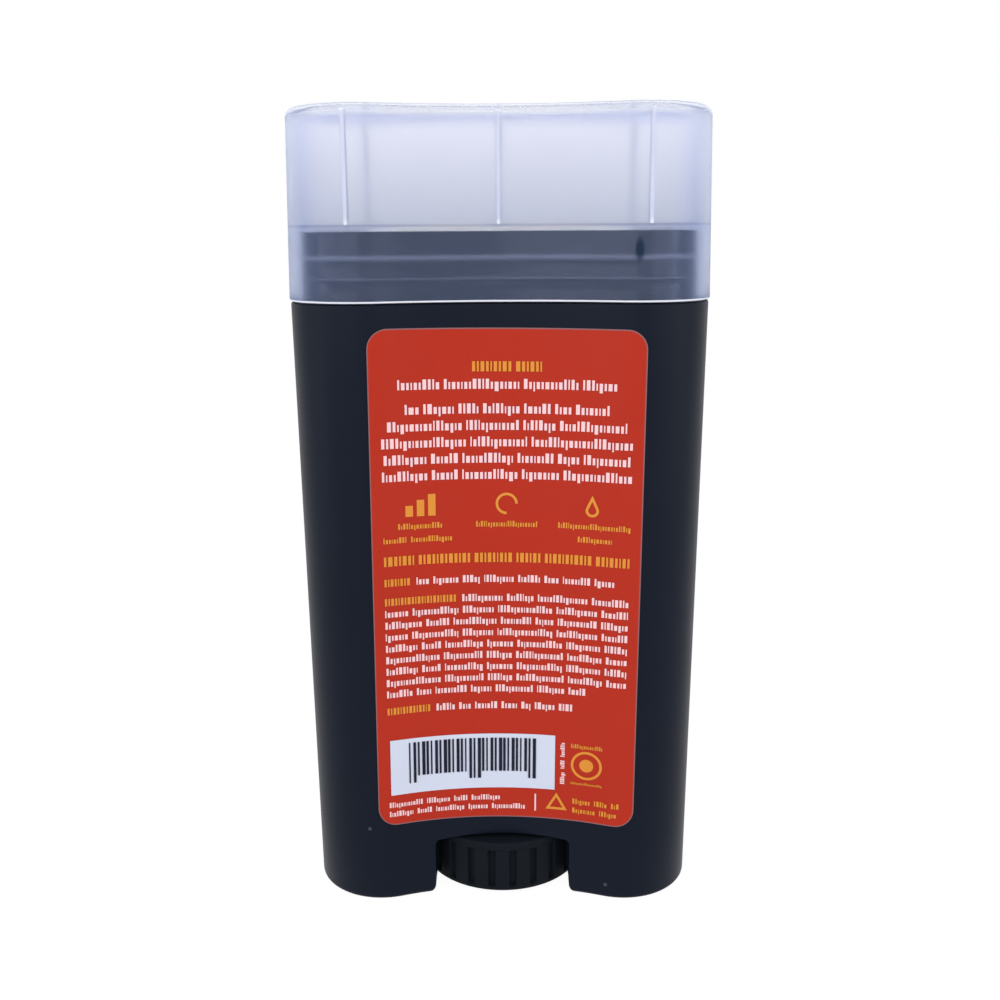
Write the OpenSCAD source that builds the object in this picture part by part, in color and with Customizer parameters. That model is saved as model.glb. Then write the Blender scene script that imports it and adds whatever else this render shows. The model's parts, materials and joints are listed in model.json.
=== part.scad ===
// Twist-up deodorant stick: an oval barrel with a thumb wheel in its foot, a screw that lifts a platform
// with the solid stick on it, a frosted cap, and a printed label on each face.
// Millimetres, Z up. The stick stands on z = 0, the printed back label faces -Y.

/* [Barrel] */
// Width across the barrel at its shoulder, right under the cap
shoulder_w = 63.8; // [60:0.2:70]
// How much narrower the barrel is at its foot
foot_taper = 1.8; // [0:0.1:4]
// Depth over the soft ridges beside the hollowed faces
ridge_d = 30.2; // [28:0.2:34]
// Depth in the middle of the hollowed faces
waist_d = 23.5; // [22:0.1:26]
// Radius of the corners in plan
corner_r = 11.0; // [9:0.1:12]
// Height of the shoulder that the cap stands on
shoulder_z = 96.7; // [94:0.1:104]
// Height of the neck above the shoulder
neck_h = 10.3; // [8:0.1:12]
// Wall of the neck at its rim
neck_wall = 1.2; // [0.9:0.05:1.6]
// Rounding along the shoulder's outer edge
shoulder_r = 0.4; // [0.2:0.05:0.6]

/* [Neck beads] */
// Height of the grip bead's middle above the shoulder
grip_bead_up = 3.5; // [2:0.1:5]
// How far the grip bead stands out of the neck
grip_bead_out = 0.2; // [0.1:0.02:0.26]
// Height of the guide bead's middle above the shoulder
guide_bead_up = 6.5; // [6:0.1:7.5]
// How far the guide bead stands out of the neck
guide_bead_out = 0.14; // [0.08:0.02:0.24]
// Height of each bead
bead_h = 1.1; // [0.8:0.05:1.4]

/* [Foot and windows] */
// Height of the floor's underside above the surface that the stick stands on
floor_z = 10.8; // [9.6:0.1:12]
// Thickness of the floor
floor_t = 1.6; // [1.2:0.1:2.4]
// Wall of the skirt under the floor
skirt_wall = 2.0; // [1.4:0.1:2.6]
// Rounding of the foot's outer edge
foot_r = 0.8; // [0.4:0.1:1.2]
// Width of the thumb windows, front and back
window_w = 22.0; // [18:0.2:24]
// Distance from the floor's underside down to the top of a window's sides
window_drop = 1.1; // [0.9:0.1:1.6]
// How far the window's arched top rises in its middle
window_rise = 0.6; // [0.2:0.1:0.8]
// Rounding of the window's corners
window_r = 1.0; // [0.4:0.1:1.6]
// Rounding where the window's sides meet the foot
window_flare_r = 1.6; // [0.4:0.1:3]
// Outer radius of the raised ring round the spindle's bore
boss_r = 6.5; // [6:0.1:7.5]
// Height of that ring above the floor
boss_h = 1.0; // [0.6:0.1:1.6]
// Wall of the round pocket that the thumb wheel turns in
pocket_wall = 1.2; // [0.8:0.1:1.5]
// Height of the pocket's lower edge above the surface
pocket_low = 1.5; // [1:0.1:3]

/* [Cap] */
// Height of the cap
cap_h = 28.1; // [26:0.1:34]
// Wall of the cap
cap_wall = 1.5; // [1.2:0.1:1.8]
// Thickness of the cap's top
cap_top = 1.7; // [1.2:0.1:2.2]
// How far the cap's mouth stands out past the shoulder
cap_step = 0.2; // [0:0.05:0.5]
// How far the cap's wall leans in, from its mouth to its top
cap_lean = 0.65; // [0:0.05:1]
// Rounding of the cap's top edge
cap_r = 1.4; // [0.8:0.1:2]
// How far the middle of the top is crowned
cap_crown = 0.3; // [0.1:0.05:0.6]
// Gap between the neck and the cap's inside
cap_gap = 0.4; // [0.3:0.05:0.6]
// Gap between the cap's mouth and the shoulder
mouth_gap = 0.15; // [0.1:0.05:0.3]
// Distance from the middle to the outer stiffening ribs
rib_x = 22.2; // [16:0.1:23]
// Thickness of a stiffening rib
rib_t = 0.7; // [0.4:0.1:1.2]
// How far a rib stands in from the cap's wall
rib_out = 1.2; // [0.6:0.1:1.3]
// Gap between the neck's rim and the ribs' lower ends
rib_gap = 0.8; // [0.4:0.1:2]

/* [Thumb wheel] */
// Radius of the wheel's plate
dial_r = 13.7; // [13:0.1:14.4]
// How far the plate stands out over the flutes under it
dial_lip = 0.1; // [0.05:0.05:0.3]
// Gap between the pocket and the wheel
dial_gap = 0.7; // [0.4:0.1:1]
// Height of the wheel's lower face above the surface
dial_low = 0.7; // [0.4:0.1:1.5]
// Gap between the floor and the wheel's plate
dial_plate_gap = 1.4; // [1.2:0.1:2]
// Thickness of the wheel's plate
dial_plate_t = 1.4; // [1:0.1:2]
// Height of the plain rim under the flutes
dial_rim_h = 0.6; // [0.4:0.1:1.5]
// Number of flutes
flutes = 24; // [16:1:30]
// Share of each pitch that is groove
groove_share = 0.38; // [0.2:0.02:0.5]
// Depth of a groove
groove_d = 0.8; // [0.4:0.1:1]
// Share of a groove's width that is its flat bottom
groove_flat = 0.4; // [0.2:0.05:0.7]
// Wall between the grooves and the hollow underside
dial_wall = 1.4; // [1:0.1:2]
// Outer radius of the wheel's hub
hub_r = 5.6; // [5.2:0.1:6.4]
// Gap between the floor and the hub
hub_gap = 0.2; // [0.1:0.05:0.4]
// Number of spokes on the underside
spokes = 6; // [3:1:8]
// Thickness of a spoke
spoke_t = 1.0; // [0.8:0.1:1.6]
// Height that the spokes stay above the wheel's lower face
spoke_up = 3.2; // [1:0.1:5]

/* [Spindle] */
// Outer radius of the screw
screw_r = 3.8; // [3.4:0.1:4.2]
// Distance from the neck's rim down to the spindle's tip
spindle_drop = 7.0; // [5:0.1:9]
// Length of the tapered tip
tip_h = 1.2; // [0.6:0.1:2]
// How far the tip tapers in
tip_in = 0.9; // [0.4:0.1:1.5]
// Radius of the journal that turns in the floor
journal_r = 4.6; // [4.4:0.05:5]
// Running clearance round the journal
journal_gap = 0.05; // [0.02:0.01:0.08]
// Radius of the flange that rests over the floor
flange_r = 7.0; // [6.4:0.1:8]
// Thickness of the flange
flange_t = 1.2; // [0.8:0.1:1.6]
// Gap between the raised ring and the flange
flange_gap = 0.15; // [0.1:0.05:0.3]
// Distance across the corners of the six-sided plug in the hub
plug_d = 7.6; // [6:0.1:8]
// Length of that plug
plug_h = 6.0; // [4:0.1:7]
// Clearance round the plug
plug_gap = 0.05; // [0.02:0.01:0.1]

/* [Platform] */
// Height of the stick's crown over the neck's rim at rest
crown_over = 1.0; // [-4:0.5:1.5]
// Thickness of the platform
platform_t = 1.6; // [1.2:0.1:2.4]
// Gap between the barrel's bore and the platform
platform_gap = 0.3; // [0.3:0.05:0.5]
// Depth of the skirt under the platform
platform_skirt = 6.0; // [4:0.1:6.2]
// Wall of that skirt
platform_wall = 1.1; // [0.8:0.1:1.6]
// Outer radius of the nut
nut_r = 6.2; // [5.6:0.1:7]
// How far the nut reaches under the platform
nut_down = 6.0; // [4:0.1:6.2]
// How far the nut reaches over the platform
nut_up = 3.0; // [1:0.1:3.4]
// Running clearance between the screw and the nut
nut_gap = 0.06; // [0.02:0.01:0.1]
// Thickness of the ribs under the platform and the fins on it
fin_t = 1.0; // [0.8:0.1:1.5]
// Height of the fins that hold the stick
fin_h = 7.0; // [4:0.1:10]
// Length of each fin
fin_l = 12.0; // [8:0.1:14]
// Distance from the middle to each fin's middle
fin_x = 15.0; // [14:0.1:17]

/* [Stick] */
// Height of the solid stick that is left, up to its crown
stick_h = 26.0; // [20:0.5:26]
// Height of the rounded top
dome_h = 6.5; // [4:0.1:9]
// Gap between the barrel's bore and the stick
stick_gap = 0.35; // [0.3:0.05:0.6]
// Gap round the fins and the nut
cast_gap = 0.05; // [0.02:0.01:0.1]
// Gap between the screw and the stick's core hole
core_gap = 0.35; // [0.3:0.05:0.6]

/* [Labels] */
// Width of a label
label_w = 41.0; // [36:0.2:42]
// Distance from the shoulder down to a label's upper edge
label_drop = 3.6; // [2.5:0.1:5]
// Height of a label's lower edge above the surface
label_z = 13.4; // [12.4:0.1:15]
// How far the back label was stuck on to the right of the middle
back_label_off = 0.9; // [0:0.1:1.5]
// How far it was turned, in degrees, to the left of upright
back_label_turn = -0.4; // [-1:0.1:1]
// Rounding of the label's corners
label_r = 3.0; // [1:0.1:5]
// Thickness of a label
label_t = 0.15; // [0.1:0.01:0.2]
// Glue line between the barrel and a label
glue_t = 0.05; // [0.05:0.01:0.08]
// Thickness of the printed fields
print_t = 0.08; // [0.06:0.01:0.12]
// Gap under the printed fields
print_gap = 0.02; // [0.01:0.01:0.03]

/* [Print on the back label] */
// Distance from a label's side to the ends of a full line of print
print_margin = 1.8; // [1.2:0.1:4]
// Height of the big print
big_h = 1.5; // [1:0.1:1.8]
// Distance between lines of big print
big_pitch = 2.52; // [2:0.02:2.7]
// Height of the small print
small_h = 1.15; // [0.8:0.05:1.4]
// Distance between lines of small print
small_pitch = 1.9; // [1.5:0.02:2]
// Space between two words
word_gap = 0.7; // [0.3:0.05:1]
// Width of the pale code panel
panel_w = 26.3; // [20:0.1:27]
// Height of the code panel
panel_h = 9.5; // [8:0.1:10]
// Height of the panel's lower edge above the label's lower edge
panel_up = 5.3; // [5:0.1:6]
// Number of dark stripes on the panel
stripes = 30; // [10:1:40]
// Height of the stripes
stripe_h = 5.8; // [4:0.1:6.5]
// Outer radius of the round mark
mark_r = 2.45; // [1.5:0.05:2.6]
// Width of the lines that draw the marks
mark_line = 0.4; // [0.2:0.05:0.6]

/* [Print on the front label] */
// Distance from the label's edge to the frame line
frame_in = 2.4; // [1:0.1:4]
// Width of the frame line
frame_line = 0.5; // [0.3:0.1:1]
// Height of the broad plain band
band_h = 12.0; // [6:0.5:18]

/* [Hidden] */

BARREL_BLACK = [0.10, 0.12, 0.16];
CAP_FROST = [0.82, 0.85, 0.94, 0.6];
WHEEL_BLACK = [0.09, 0.09, 0.10];
SCREW_GREY = [0.55, 0.57, 0.60];
STICK_CREAM = [0.93, 0.92, 0.86];
LABEL_ORANGE = [0.76, 0.22, 0.14];
PRINT_WHITE = [0.96, 0.93, 0.92];
PRINT_AMBER = [0.88, 0.58, 0.18];
PRINT_NAVY = [0.11, 0.10, 0.22];

$fn = 64;
eps = 0.01;

// Segments along a corner arc, along a hollow face and along a rounded edge
corner_steps = 8;
waist_steps = 16;
edge_steps = 3;

// How far two shapes of one moulding reach into each other where they join, and how far a cut runs past
bite = 0.5;
past = 1;

// Shares of the cap's top at which its crown is drawn, and turns and power of the stick's rounded top
crown_shares = [0.15, 0.5, 0.8];
dome_turns = [84, 72, 60, 45, 30, 15, 0];
dome_power = 0.55;

rim_z = shoulder_z + neck_h;
floor_top = floor_z + floor_t;
boss_top = floor_top + boss_h;
shoulder_half = shoulder_w / 2;
foot_half = shoulder_half - foot_taper / 2;

cap_z = shoulder_z + mouth_gap;
cap_crown_z = cap_z + cap_h;
ceiling_z = cap_crown_z - cap_top;
lean_slope = cap_lean / cap_h;

// Chamfer on the neck's rim and on the cap's mouth
rim_edge = 0.3;
mouth_edge = 0.25;

// Insets are measured inwards from the barrel's outline at the shoulder
function cap_out_inset(z) = (z - cap_z) * lean_slope - cap_step;
function cap_in_inset(z) = cap_out_inset(z) + cap_wall;
function neck_inset(z) = cap_in_inset(z) + cap_gap;
bore_inset = neck_inset(rim_z) + neck_wall;

dial_plate_top = floor_z - dial_plate_gap;
dial_plate_low = dial_plate_top - dial_plate_t;
flute_r = dial_r - dial_lip;
dial_root = flute_r - groove_d;
pocket_r = dial_r + dial_gap;
hub_top = floor_z - hub_gap;
journal_low = hub_top;
flange_low = boss_top + flange_gap;
flange_top = flange_low + flange_t;
spindle_top = rim_z - spindle_drop;
plug_low = hub_top - plug_h;

platform_z = rim_z + crown_over - stick_h;
platform_low = platform_z - platform_t;
stick_low = platform_z + cast_gap;
stick_top = platform_z + stick_h;

label_h = shoulder_z - label_drop - label_z;
label_mid_z = label_z + label_h / 2;
sheet_low = label_z - bite;
sheet_top = label_z + label_h + bite;
line_half = label_w / 2 - print_margin;
window_h = floor_z - window_drop;

// Radius of the hollow face that meets the corner arcs without a kink
function waist_radius(a, b, w, r) = (pow(a - r, 2) + pow(w - b + r, 2) - r * r) / (2 * (b - w));

function arc(cx, cy, r, from, to, steps) =
    [for (i = [0:steps]) let (t = from + (to - from) * i / steps) [cx + r * cos(t), cy + r * sin(t)]];

// Plan outline inside half-width half_w by inset, anticlockwise: four corner arcs and two hollow arcs
function outline(half_w, inset) =
    let (
        a = half_w - inset,
        b = ridge_d / 2 - inset,
        w = waist_d / 2 - inset,
        r = corner_r - inset,
        big = waist_radius(a, b, w, r),
        x = a - r,
        y = b - r,
        phi = atan(x / (big + w - y)),
        dt = 2 * phi / waist_steps
    )
    concat(
        arc(x, -y, r, -90 - phi, 0, corner_steps),
        arc(x, y, r, 0, 90 + phi, corner_steps),
        arc(0, big + w, big, phi - dt - 90, dt - phi - 90, waist_steps - 2),
        arc(-x, y, r, 90 - phi, 180, corner_steps),
        arc(-x, -y, r, 180, 270 + phi, corner_steps),
        arc(0, -big - w, big, 90 + phi - dt, 90 - phi + dt, waist_steps - 2)
    );

function ring(half_w, inset, z) = [for (p = outline(half_w, inset)) [p.x, p.y, z]];

// Half-width of the barrel's outside, which widens from the foot to the shoulder
function half_width(z) = foot_half + (shoulder_half - foot_half) * z / shoulder_z;

// Closed skin through rings of equal length, from the top down on the outside. Each end is closed by strips
// between the points i and fold - i of its ring, which lie across from each other.
module skin(rings) {
    n = len(rings[0]);
    fold = 2 * corner_steps + 1;
    last = (len(rings) - 1) * n;
    function at(i) = (i + n) % n;
    sides = [
        for (j = [0:len(rings) - 2]) for (i = [0:n - 1])
            let (a = j * n + i, b = j * n + at(i + 1), c = b + n, d = a + n)
            each [[a, b, c], [a, c, d]]
    ];
    strips = [
        for (i = [(fold + 1 - n) / 2:(fold - 3) / 2])
            [at(i), at(i + 1), at(fold - i - 1), at(fold - i)]
    ];
    polyhedron(
        points = [for (r = rings) each r],
        faces = concat(
            [for (q = strips) [q[3], q[2], q[1], q[0]]],
            sides,
            [for (q = strips) [for (i = q) last + i]]
        ),
        convexity = 8
    );
}

// Rings of one bead on the neck, from its top down
function bead_rings(up, out) = [
    for (s = [1, 0.4, -0.4, -1])
        let (z = shoulder_z + up + s * bead_h / 2)
        ring(shoulder_half, neck_inset(z) - (abs(s) < 1 ? out : 0), z)
];

function barrel_rings() = concat(
    [
        ring(shoulder_half, bore_inset, floor_top),
        ring(shoulder_half, bore_inset, rim_z - rim_edge),
        ring(shoulder_half, bore_inset - rim_edge, rim_z),
        ring(shoulder_half, neck_inset(rim_z) + rim_edge, rim_z),
        ring(shoulder_half, neck_inset(rim_z - rim_edge), rim_z - rim_edge)
    ],
    bead_rings(guide_bead_up, guide_bead_out),
    bead_rings(grip_bead_up, grip_bead_out),
    [ring(shoulder_half, neck_inset(shoulder_z), shoulder_z)],
    [
        for (i = [0:edge_steps])
            let (t = 90 * i / edge_steps, z = shoulder_z - shoulder_r * (1 - cos(t)))
            ring(half_width(z), shoulder_r * (1 - sin(t)), z)
    ],
    [for (z = [sheet_top, sheet_low]) ring(half_width(z), 0, z)],
    [
        for (i = [0:edge_steps])
            let (t = 90 * i / edge_steps, z = foot_r * (1 - sin(t)))
            ring(half_width(z), foot_r * (1 - cos(t)), z)
    ],
    [
        ring(foot_half, skirt_wall, 0),
        ring(foot_half, skirt_wall, floor_z)
    ]
);

// Outline of a thumb window in X and Z, with its arched top and flared lower corners
function window_outline() =
    let (h = window_w / 2, r = window_r, low = window_flare_r, arch_n = 6)
    concat(
        [[-h - low, -eps], [h + low, -eps], [h + low, 0]],
        arc(h + low, low, low, 270, 180, 5),
        arc(h - r, window_h - r, r, 0, 60, 3),
        [
            for (i = [1:arch_n - 1])
                let (u = 1 - 2 * i / arch_n)
                [u * (h - r), window_h + window_rise * (1 - u * u)]
        ],
        arc(r - h, window_h - r, r, 120, 180, 3),
        arc(-h - low, low, low, 0, -90, 5)
    );

// A profile drawn in X and Z, extruded along Y through the whole depth
module through(points) {
    translate([0, ridge_d, 0])
        rotate([90, 0, 0])
            linear_extrude(height = 2 * ridge_d)
                polygon(points);
}

// Wall of the round pocket, where it stands inside the skirt
module pocket() {
    intersection() {
        translate([0, 0, pocket_low])
            difference() {
                cylinder(r = pocket_r + pocket_wall, h = floor_z - pocket_low + eps);
                translate([0, 0, -past])
                    cylinder(r = pocket_r, h = floor_z);
            }
        linear_extrude(height = floor_z + eps)
            polygon(outline(foot_half, skirt_wall - bite));
    }
}

module barrel() {
    color(BARREL_BLACK)
        difference() {
            union() {
                skin(barrel_rings());
                pocket();
                translate([0, 0, floor_top - eps])
                    cylinder(r = boss_r, h = boss_h + eps);
            }
            through(window_outline());
            translate([0, 0, floor_z - past])
                cylinder(r = journal_r + journal_gap, h = floor_t + boss_h + 2 * past);
        }
}

function cap_rings() = concat(
    [
        for (s = crown_shares)
            [for (p = outline(shoulder_half, cap_out_inset(cap_crown_z) + cap_r))
                [s * p.x, s * p.y, cap_crown_z - cap_crown * s * s]]
    ],
    [
        for (i = [0:edge_steps + 1])
            let (t = 90 * i / (edge_steps + 1), z = cap_crown_z - cap_crown - cap_r * (1 - cos(t)))
            ring(shoulder_half, cap_out_inset(z) + cap_r * (1 - sin(t)), z)
    ],
    [
        ring(shoulder_half, cap_out_inset(cap_z + mouth_edge), cap_z + mouth_edge),
        ring(shoulder_half, cap_out_inset(cap_z) + mouth_edge, cap_z),
        ring(shoulder_half, cap_in_inset(cap_z) - mouth_edge, cap_z),
        ring(shoulder_half, cap_in_inset(cap_z + mouth_edge), cap_z + mouth_edge),
        ring(shoulder_half, cap_in_inset(ceiling_z), ceiling_z)
    ]
);

// Depth from the middle plane to the outline's near side at x, inside the shoulder by inset
function depth_at(half_w, inset, x) =
    let (
        a = half_w - inset,
        b = ridge_d / 2 - inset,
        w = waist_d / 2 - inset,
        r = corner_r - inset,
        big = waist_radius(a, b, w, r),
        cx = a - r,
        cy = b - r,
        meet = cx * big / (big + r)
    )
    abs(x) < meet ? w + big - sqrt(big * big - x * x) : cy + sqrt(r * r - pow(abs(x) - cx, 2));

// Stiffening rib inside the cap at x, on the back where side is -1 and on the front where it is 1
module cap_rib(x, side) {
    low = rim_z + rib_gap;
    reach = depth_at(shoulder_half, cap_in_inset(low), x) - rib_out;
    root = depth_at(shoulder_half, cap_in_inset(ceiling_z), x) + cap_wall / 2;
    translate([x - rib_t / 2, side > 0 ? reach : -root, low])
        cube([rib_t, root - reach, ceiling_z - low + cap_top / 2]);
}

module cap() {
    color(CAP_FROST) {
        skin(cap_rings());
        for (x = [-rib_x, 0, rib_x])
            for (side = [-1, 1])
                cap_rib(x, side);
    }
}

// One pitch of the wheel's rim: a flat land and a groove
function flute_points() = [
    for (i = [0:flutes - 1])
        let (
            pitch = 360 / flutes,
            land = pitch * (1 - groove_share),
            floor_w = pitch * groove_share * groove_flat
        )
        each [
            for (c = [
                [flute_r, -land / 2], [flute_r, 0], [flute_r, land / 2],
                [dial_root, pitch / 2 - floor_w / 2], [dial_root, pitch / 2 + floor_w / 2]
            ])
                [c[0] * cos(i * pitch + c[1]), c[0] * sin(i * pitch + c[1])]
        ]
];

module dial() {
    hollow_r = dial_root - dial_wall;
    color(WHEEL_BLACK)
        difference() {
            union() {
                difference() {
                    union() {
                        translate([0, 0, dial_low])
                            linear_extrude(height = dial_plate_top - dial_low)
                                polygon(flute_points());
                        translate([0, 0, dial_low])
                            cylinder(r = dial_r, h = dial_rim_h);
                        translate([0, 0, dial_plate_low])
                            cylinder(r = dial_r, h = dial_plate_t);
                    }
                    translate([0, 0, dial_low - past])
                        cylinder(r = hollow_r, h = dial_plate_low - dial_low + past);
                }
                translate([0, 0, dial_low + spoke_up])
                    cylinder(r = hub_r, h = hub_top - dial_low - spoke_up);
                for (i = [0:spokes - 1])
                    rotate([0, 0, (i + 0.5) * 360 / spokes])
                        translate([hub_r - bite, -spoke_t / 2, dial_low + spoke_up])
                            cube([hollow_r - hub_r + 2 * bite, spoke_t,
                                  dial_plate_low - dial_low - spoke_up + bite]);
            }
            translate([0, 0, plug_low - plug_gap])
                cylinder(d = plug_d + 2 * plug_gap, h = plug_h + past, $fn = 6);
        }
}

module spindle() {
    color(SCREW_GREY) {
        translate([0, 0, plug_low])
            cylinder(d = plug_d, h = plug_h + eps, $fn = 6);
        translate([0, 0, journal_low])
            cylinder(r = journal_r, h = flange_low - journal_low + eps);
        translate([0, 0, flange_low])
            cylinder(r = flange_r, h = flange_t);
        translate([0, 0, flange_top - eps])
            cylinder(r = screw_r, h = spindle_top - tip_h - flange_top + eps);
        translate([0, 0, spindle_top - tip_h])
            cylinder(r1 = screw_r, r2 = screw_r - tip_in, h = tip_h);
    }
}

// Upright fin on the platform, grown by gap on every free side
module fin(side, gap) {
    translate([side * fin_x - fin_l / 2 - gap, -fin_t / 2 - gap, platform_z - eps])
        cube([fin_l + 2 * gap, fin_t + 2 * gap, fin_h + gap + eps]);
}

module elevator() {
    inset = bore_inset + platform_gap;
    inside = inset + platform_wall;
    color(BARREL_BLACK)
        difference() {
            union() {
                difference() {
                    translate([0, 0, platform_low - platform_skirt])
                        linear_extrude(height = platform_skirt + platform_t)
                            polygon(outline(shoulder_half, inset));
                    translate([0, 0, platform_low - platform_skirt - past])
                        linear_extrude(height = platform_skirt + past)
                            polygon(outline(shoulder_half, inside));
                }
                translate([0, 0, platform_low - nut_down])
                    cylinder(r = nut_r, h = nut_down + platform_t + nut_up);
                for (side = [-1, 1])
                    fin(side, 0);
                for (turn = [0, 180])
                    rotate([0, 0, turn])
                        translate([nut_r - bite, -fin_t / 2, platform_low - platform_skirt / 2])
                            cube([shoulder_half - inside - nut_r + 2 * bite, fin_t,
                                  platform_skirt / 2 + bite]);
            }
            translate([0, 0, platform_low - nut_down - past])
                cylinder(r = screw_r + nut_gap, h = nut_down + platform_t + nut_up + 2 * past);
        }
}

function stick_rings() = concat(
    [
        for (t = dome_turns)
            let (s = pow(cos(t), dome_power), z = stick_top - dome_h * (1 - sin(t)))
            [for (p = outline(shoulder_half, bore_inset + stick_gap)) [s * p.x, s * p.y, z]]
    ],
    [ring(shoulder_half, bore_inset + stick_gap, stick_low)]
);

module product() {
    color(STICK_CREAM)
        difference() {
            skin(stick_rings());
            translate([0, 0, stick_low - past])
                cylinder(r = screw_r + core_gap, h = stick_h + 2 * past);
            translate([0, 0, stick_low - past])
                cylinder(r = nut_r + cast_gap, h = nut_up + past);
            for (side = [-1, 1])
                fin(side, cast_gap);
        }
}

// Points of the barrel's outline along its back, from the left side to the right
function back_points(z) =
    let (
        points = outline(half_width(z), 0),
        first = 3 * corner_steps + waist_steps + 2
    )
    [for (i = [0:2 * corner_steps + waist_steps]) points[(first + i) % len(points)]];

// Thin sheet over a hollow face, lifted off the barrel from low to high, a little higher than a label
// side is -1 on the back and 1 on the front
// It has the barrel's own facets, so that whatever lies on a face stays parallel to it
module sheet(low, high, side) {
    ends = [for (z = [sheet_low, sheet_top]) back_points(z)];
    n = len(ends[0]);
    function at(layer, up, i) = (2 * layer + up) * n + i;
    function halves(a, b, c, d) = [[a, b, c], [a, c, d]];
    polyhedron(
        points = [
            for (lift = [low, high], up = [0, 1], p = ends[up])
                [-side * p.x, side * (lift - p.y), up == 0 ? sheet_low : sheet_top]
        ],
        faces = concat(
            [for (i = [0:n - 2]) each halves(at(1, 1, i), at(1, 1, i + 1), at(1, 0, i + 1), at(1, 0, i))],
            [for (i = [0:n - 2]) each halves(at(0, 0, i + 1), at(0, 1, i + 1), at(0, 1, i), at(0, 0, i))],
            [for (i = [0:n - 2]) each halves(at(1, 1, i), at(0, 1, i), at(0, 1, i + 1), at(1, 1, i + 1))],
            [for (i = [0:n - 2]) each halves(at(1, 0, i), at(1, 0, i + 1), at(0, 0, i + 1), at(0, 0, i))],
            halves(at(0, 0, 0), at(0, 1, 0), at(1, 1, 0), at(1, 0, 0)),
            halves(at(0, 0, n - 1), at(1, 0, n - 1), at(1, 1, n - 1), at(0, 1, n - 1))
        )
    );
}

// Flat children, drawn from the label's middle, wrapped onto the hollow face as a thin layer
module wrapped(side, low, high) {
    back = side < 0;
    intersection() {
        sheet(low, high, side);
        translate([0, 0, label_mid_z])
            rotate([90, 0, back ? 0 : 180])
                linear_extrude(height = ridge_d)
                    translate([back ? back_label_off : 0, 0])
                        rotate(back ? back_label_turn : 0)
                            children();
    }
}

module rounded_plate(w, h, r) {
    for (size = [[w - 2 * r, h], [w, h - 2 * r]])
        square(size, center = true);
    for (x = [-1, 1], y = [-1, 1])
        translate([x * (w / 2 - r), y * (h / 2 - r)])
            circle(r = r);
}

module label(side) {
    wrapped(side, glue_t, glue_t + label_t)
        rounded_plate(label_w, label_h, label_r);
}

module back_label() {
    color(LABEL_ORANGE) label(-1);
}

module front_label() {
    color(LABEL_ORANGE) label(1);
}

print_low = glue_t + label_t + print_gap;
print_high = print_low + print_t;

module printed(side) {
    wrapped(side, print_low, print_high) children();
}

// Share of the golden section that gives words and stripes their uneven widths
function uneven(k) = let (v = k * 0.618034) v - floor(v);

// Distance from the label's upper edge down to the heading, and from each group of rows to the next
heading_down = 5.7;
lead_down = 2.6;
para_down = 3.7;
icon_down = 4.62;
caption_down = 3.2;
claim_down = 3.3;
use_down = 3.4;
list_down = 3.1;
note_down = 2.9;

// How far the rows stop short of a full line, on both sides or at the right only
lead_in = 2.5;
para_in = [3.5, 0.9, 0, 0.3, 0];
use_end_in = 2.2;
list_end_in = 6.2;
note_end_in = 8.2;
heading_half = 5.2;

// Words of each row of the paragraph, lines of the list, and lengths of the amber heads of the small print
para_words = [7, 4, 3, 6, 5];
list_lines = 9;
use_head = 3.8;
list_head = 10.8;
note_head = 6.6;
head_gap = 1.0;

// Heights of the rows from the label's middle
caption_pitch = 2.1;
heading_y = label_h / 2 - heading_down;
lead_y = heading_y - lead_down;
para_y = lead_y - para_down;
icon_y = para_y - (len(para_in) - 1) * big_pitch - icon_down;
caption_y = icon_y - caption_down;
claim_y = caption_y - caption_pitch - claim_down;
use_y = claim_y - use_down;
list_y = use_y - list_down;
note_y = list_y - (list_lines - 1) * small_pitch - note_down;

// Three marks in a row, and the ends of the captions under them, each from its own mark's middle
icon_h = 3.4;
icon_in = 5.7;
icon_x = line_half - icon_in;
tiny_h = 0.9;
chart_words = [-3.5, 3.1];
chart_words_low = [icon_x - line_half, 4.6];
ring_words = [-4.7, 4.7];
drop_words = [-5.1, line_half - icon_x];
drop_words_low = [-2.1, 3.0];
drop_reach = 2.4;

// The code panel with its stripes, small print beside it and the round mark to its right
panel_in = 0.3;
panel_x0 = panel_in - line_half;
panel_x1 = panel_x0 + panel_w;
panel_y0 = panel_up - label_h / 2;
panel_y1 = panel_y0 + panel_h;
panel_border = 0.7;
stripes_in = 2.9;
stripes_x0 = panel_x0 + stripes_in;
stripes_x1 = panel_x1 - stripes_in;
stripe_extra = 1.2;
long_stripe_h = stripe_h + stripe_extra;
side_print_from = 1.2;
side_print_x = panel_x1 + side_print_from;
side_print_half = 3.6;
side_print_h = 0.7;
mark_from = 5.0;
mark_x = panel_x1 + mark_from;
mark_y = panel_y0 + panel_h / 2;
mark_gap = 0.8;
mark_dot_r = 1.1;
over_mark_h = 0.7;
under_mark_h = 0.4;

// Two lines at the label's foot, parted by an upright rule, a triangle and two short lines
address_down = 1.7;
address_y = panel_y0 - address_down;
address_pitch = 1.6;
address_ends = [5.8, 1.7];
rule_in = 3.1;
rule_x = panel_x1 - rule_in;
rule_h = 3.0;
rule_w = 0.25;
triangle_from = 3.4;
triangle_x = rule_x + triangle_from;
triangle_r = 2.0;
side_lines_from = 6.0;
side_lines_x = rule_x + side_lines_from;
side_lines_in = [0.6, 1.0];

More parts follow.
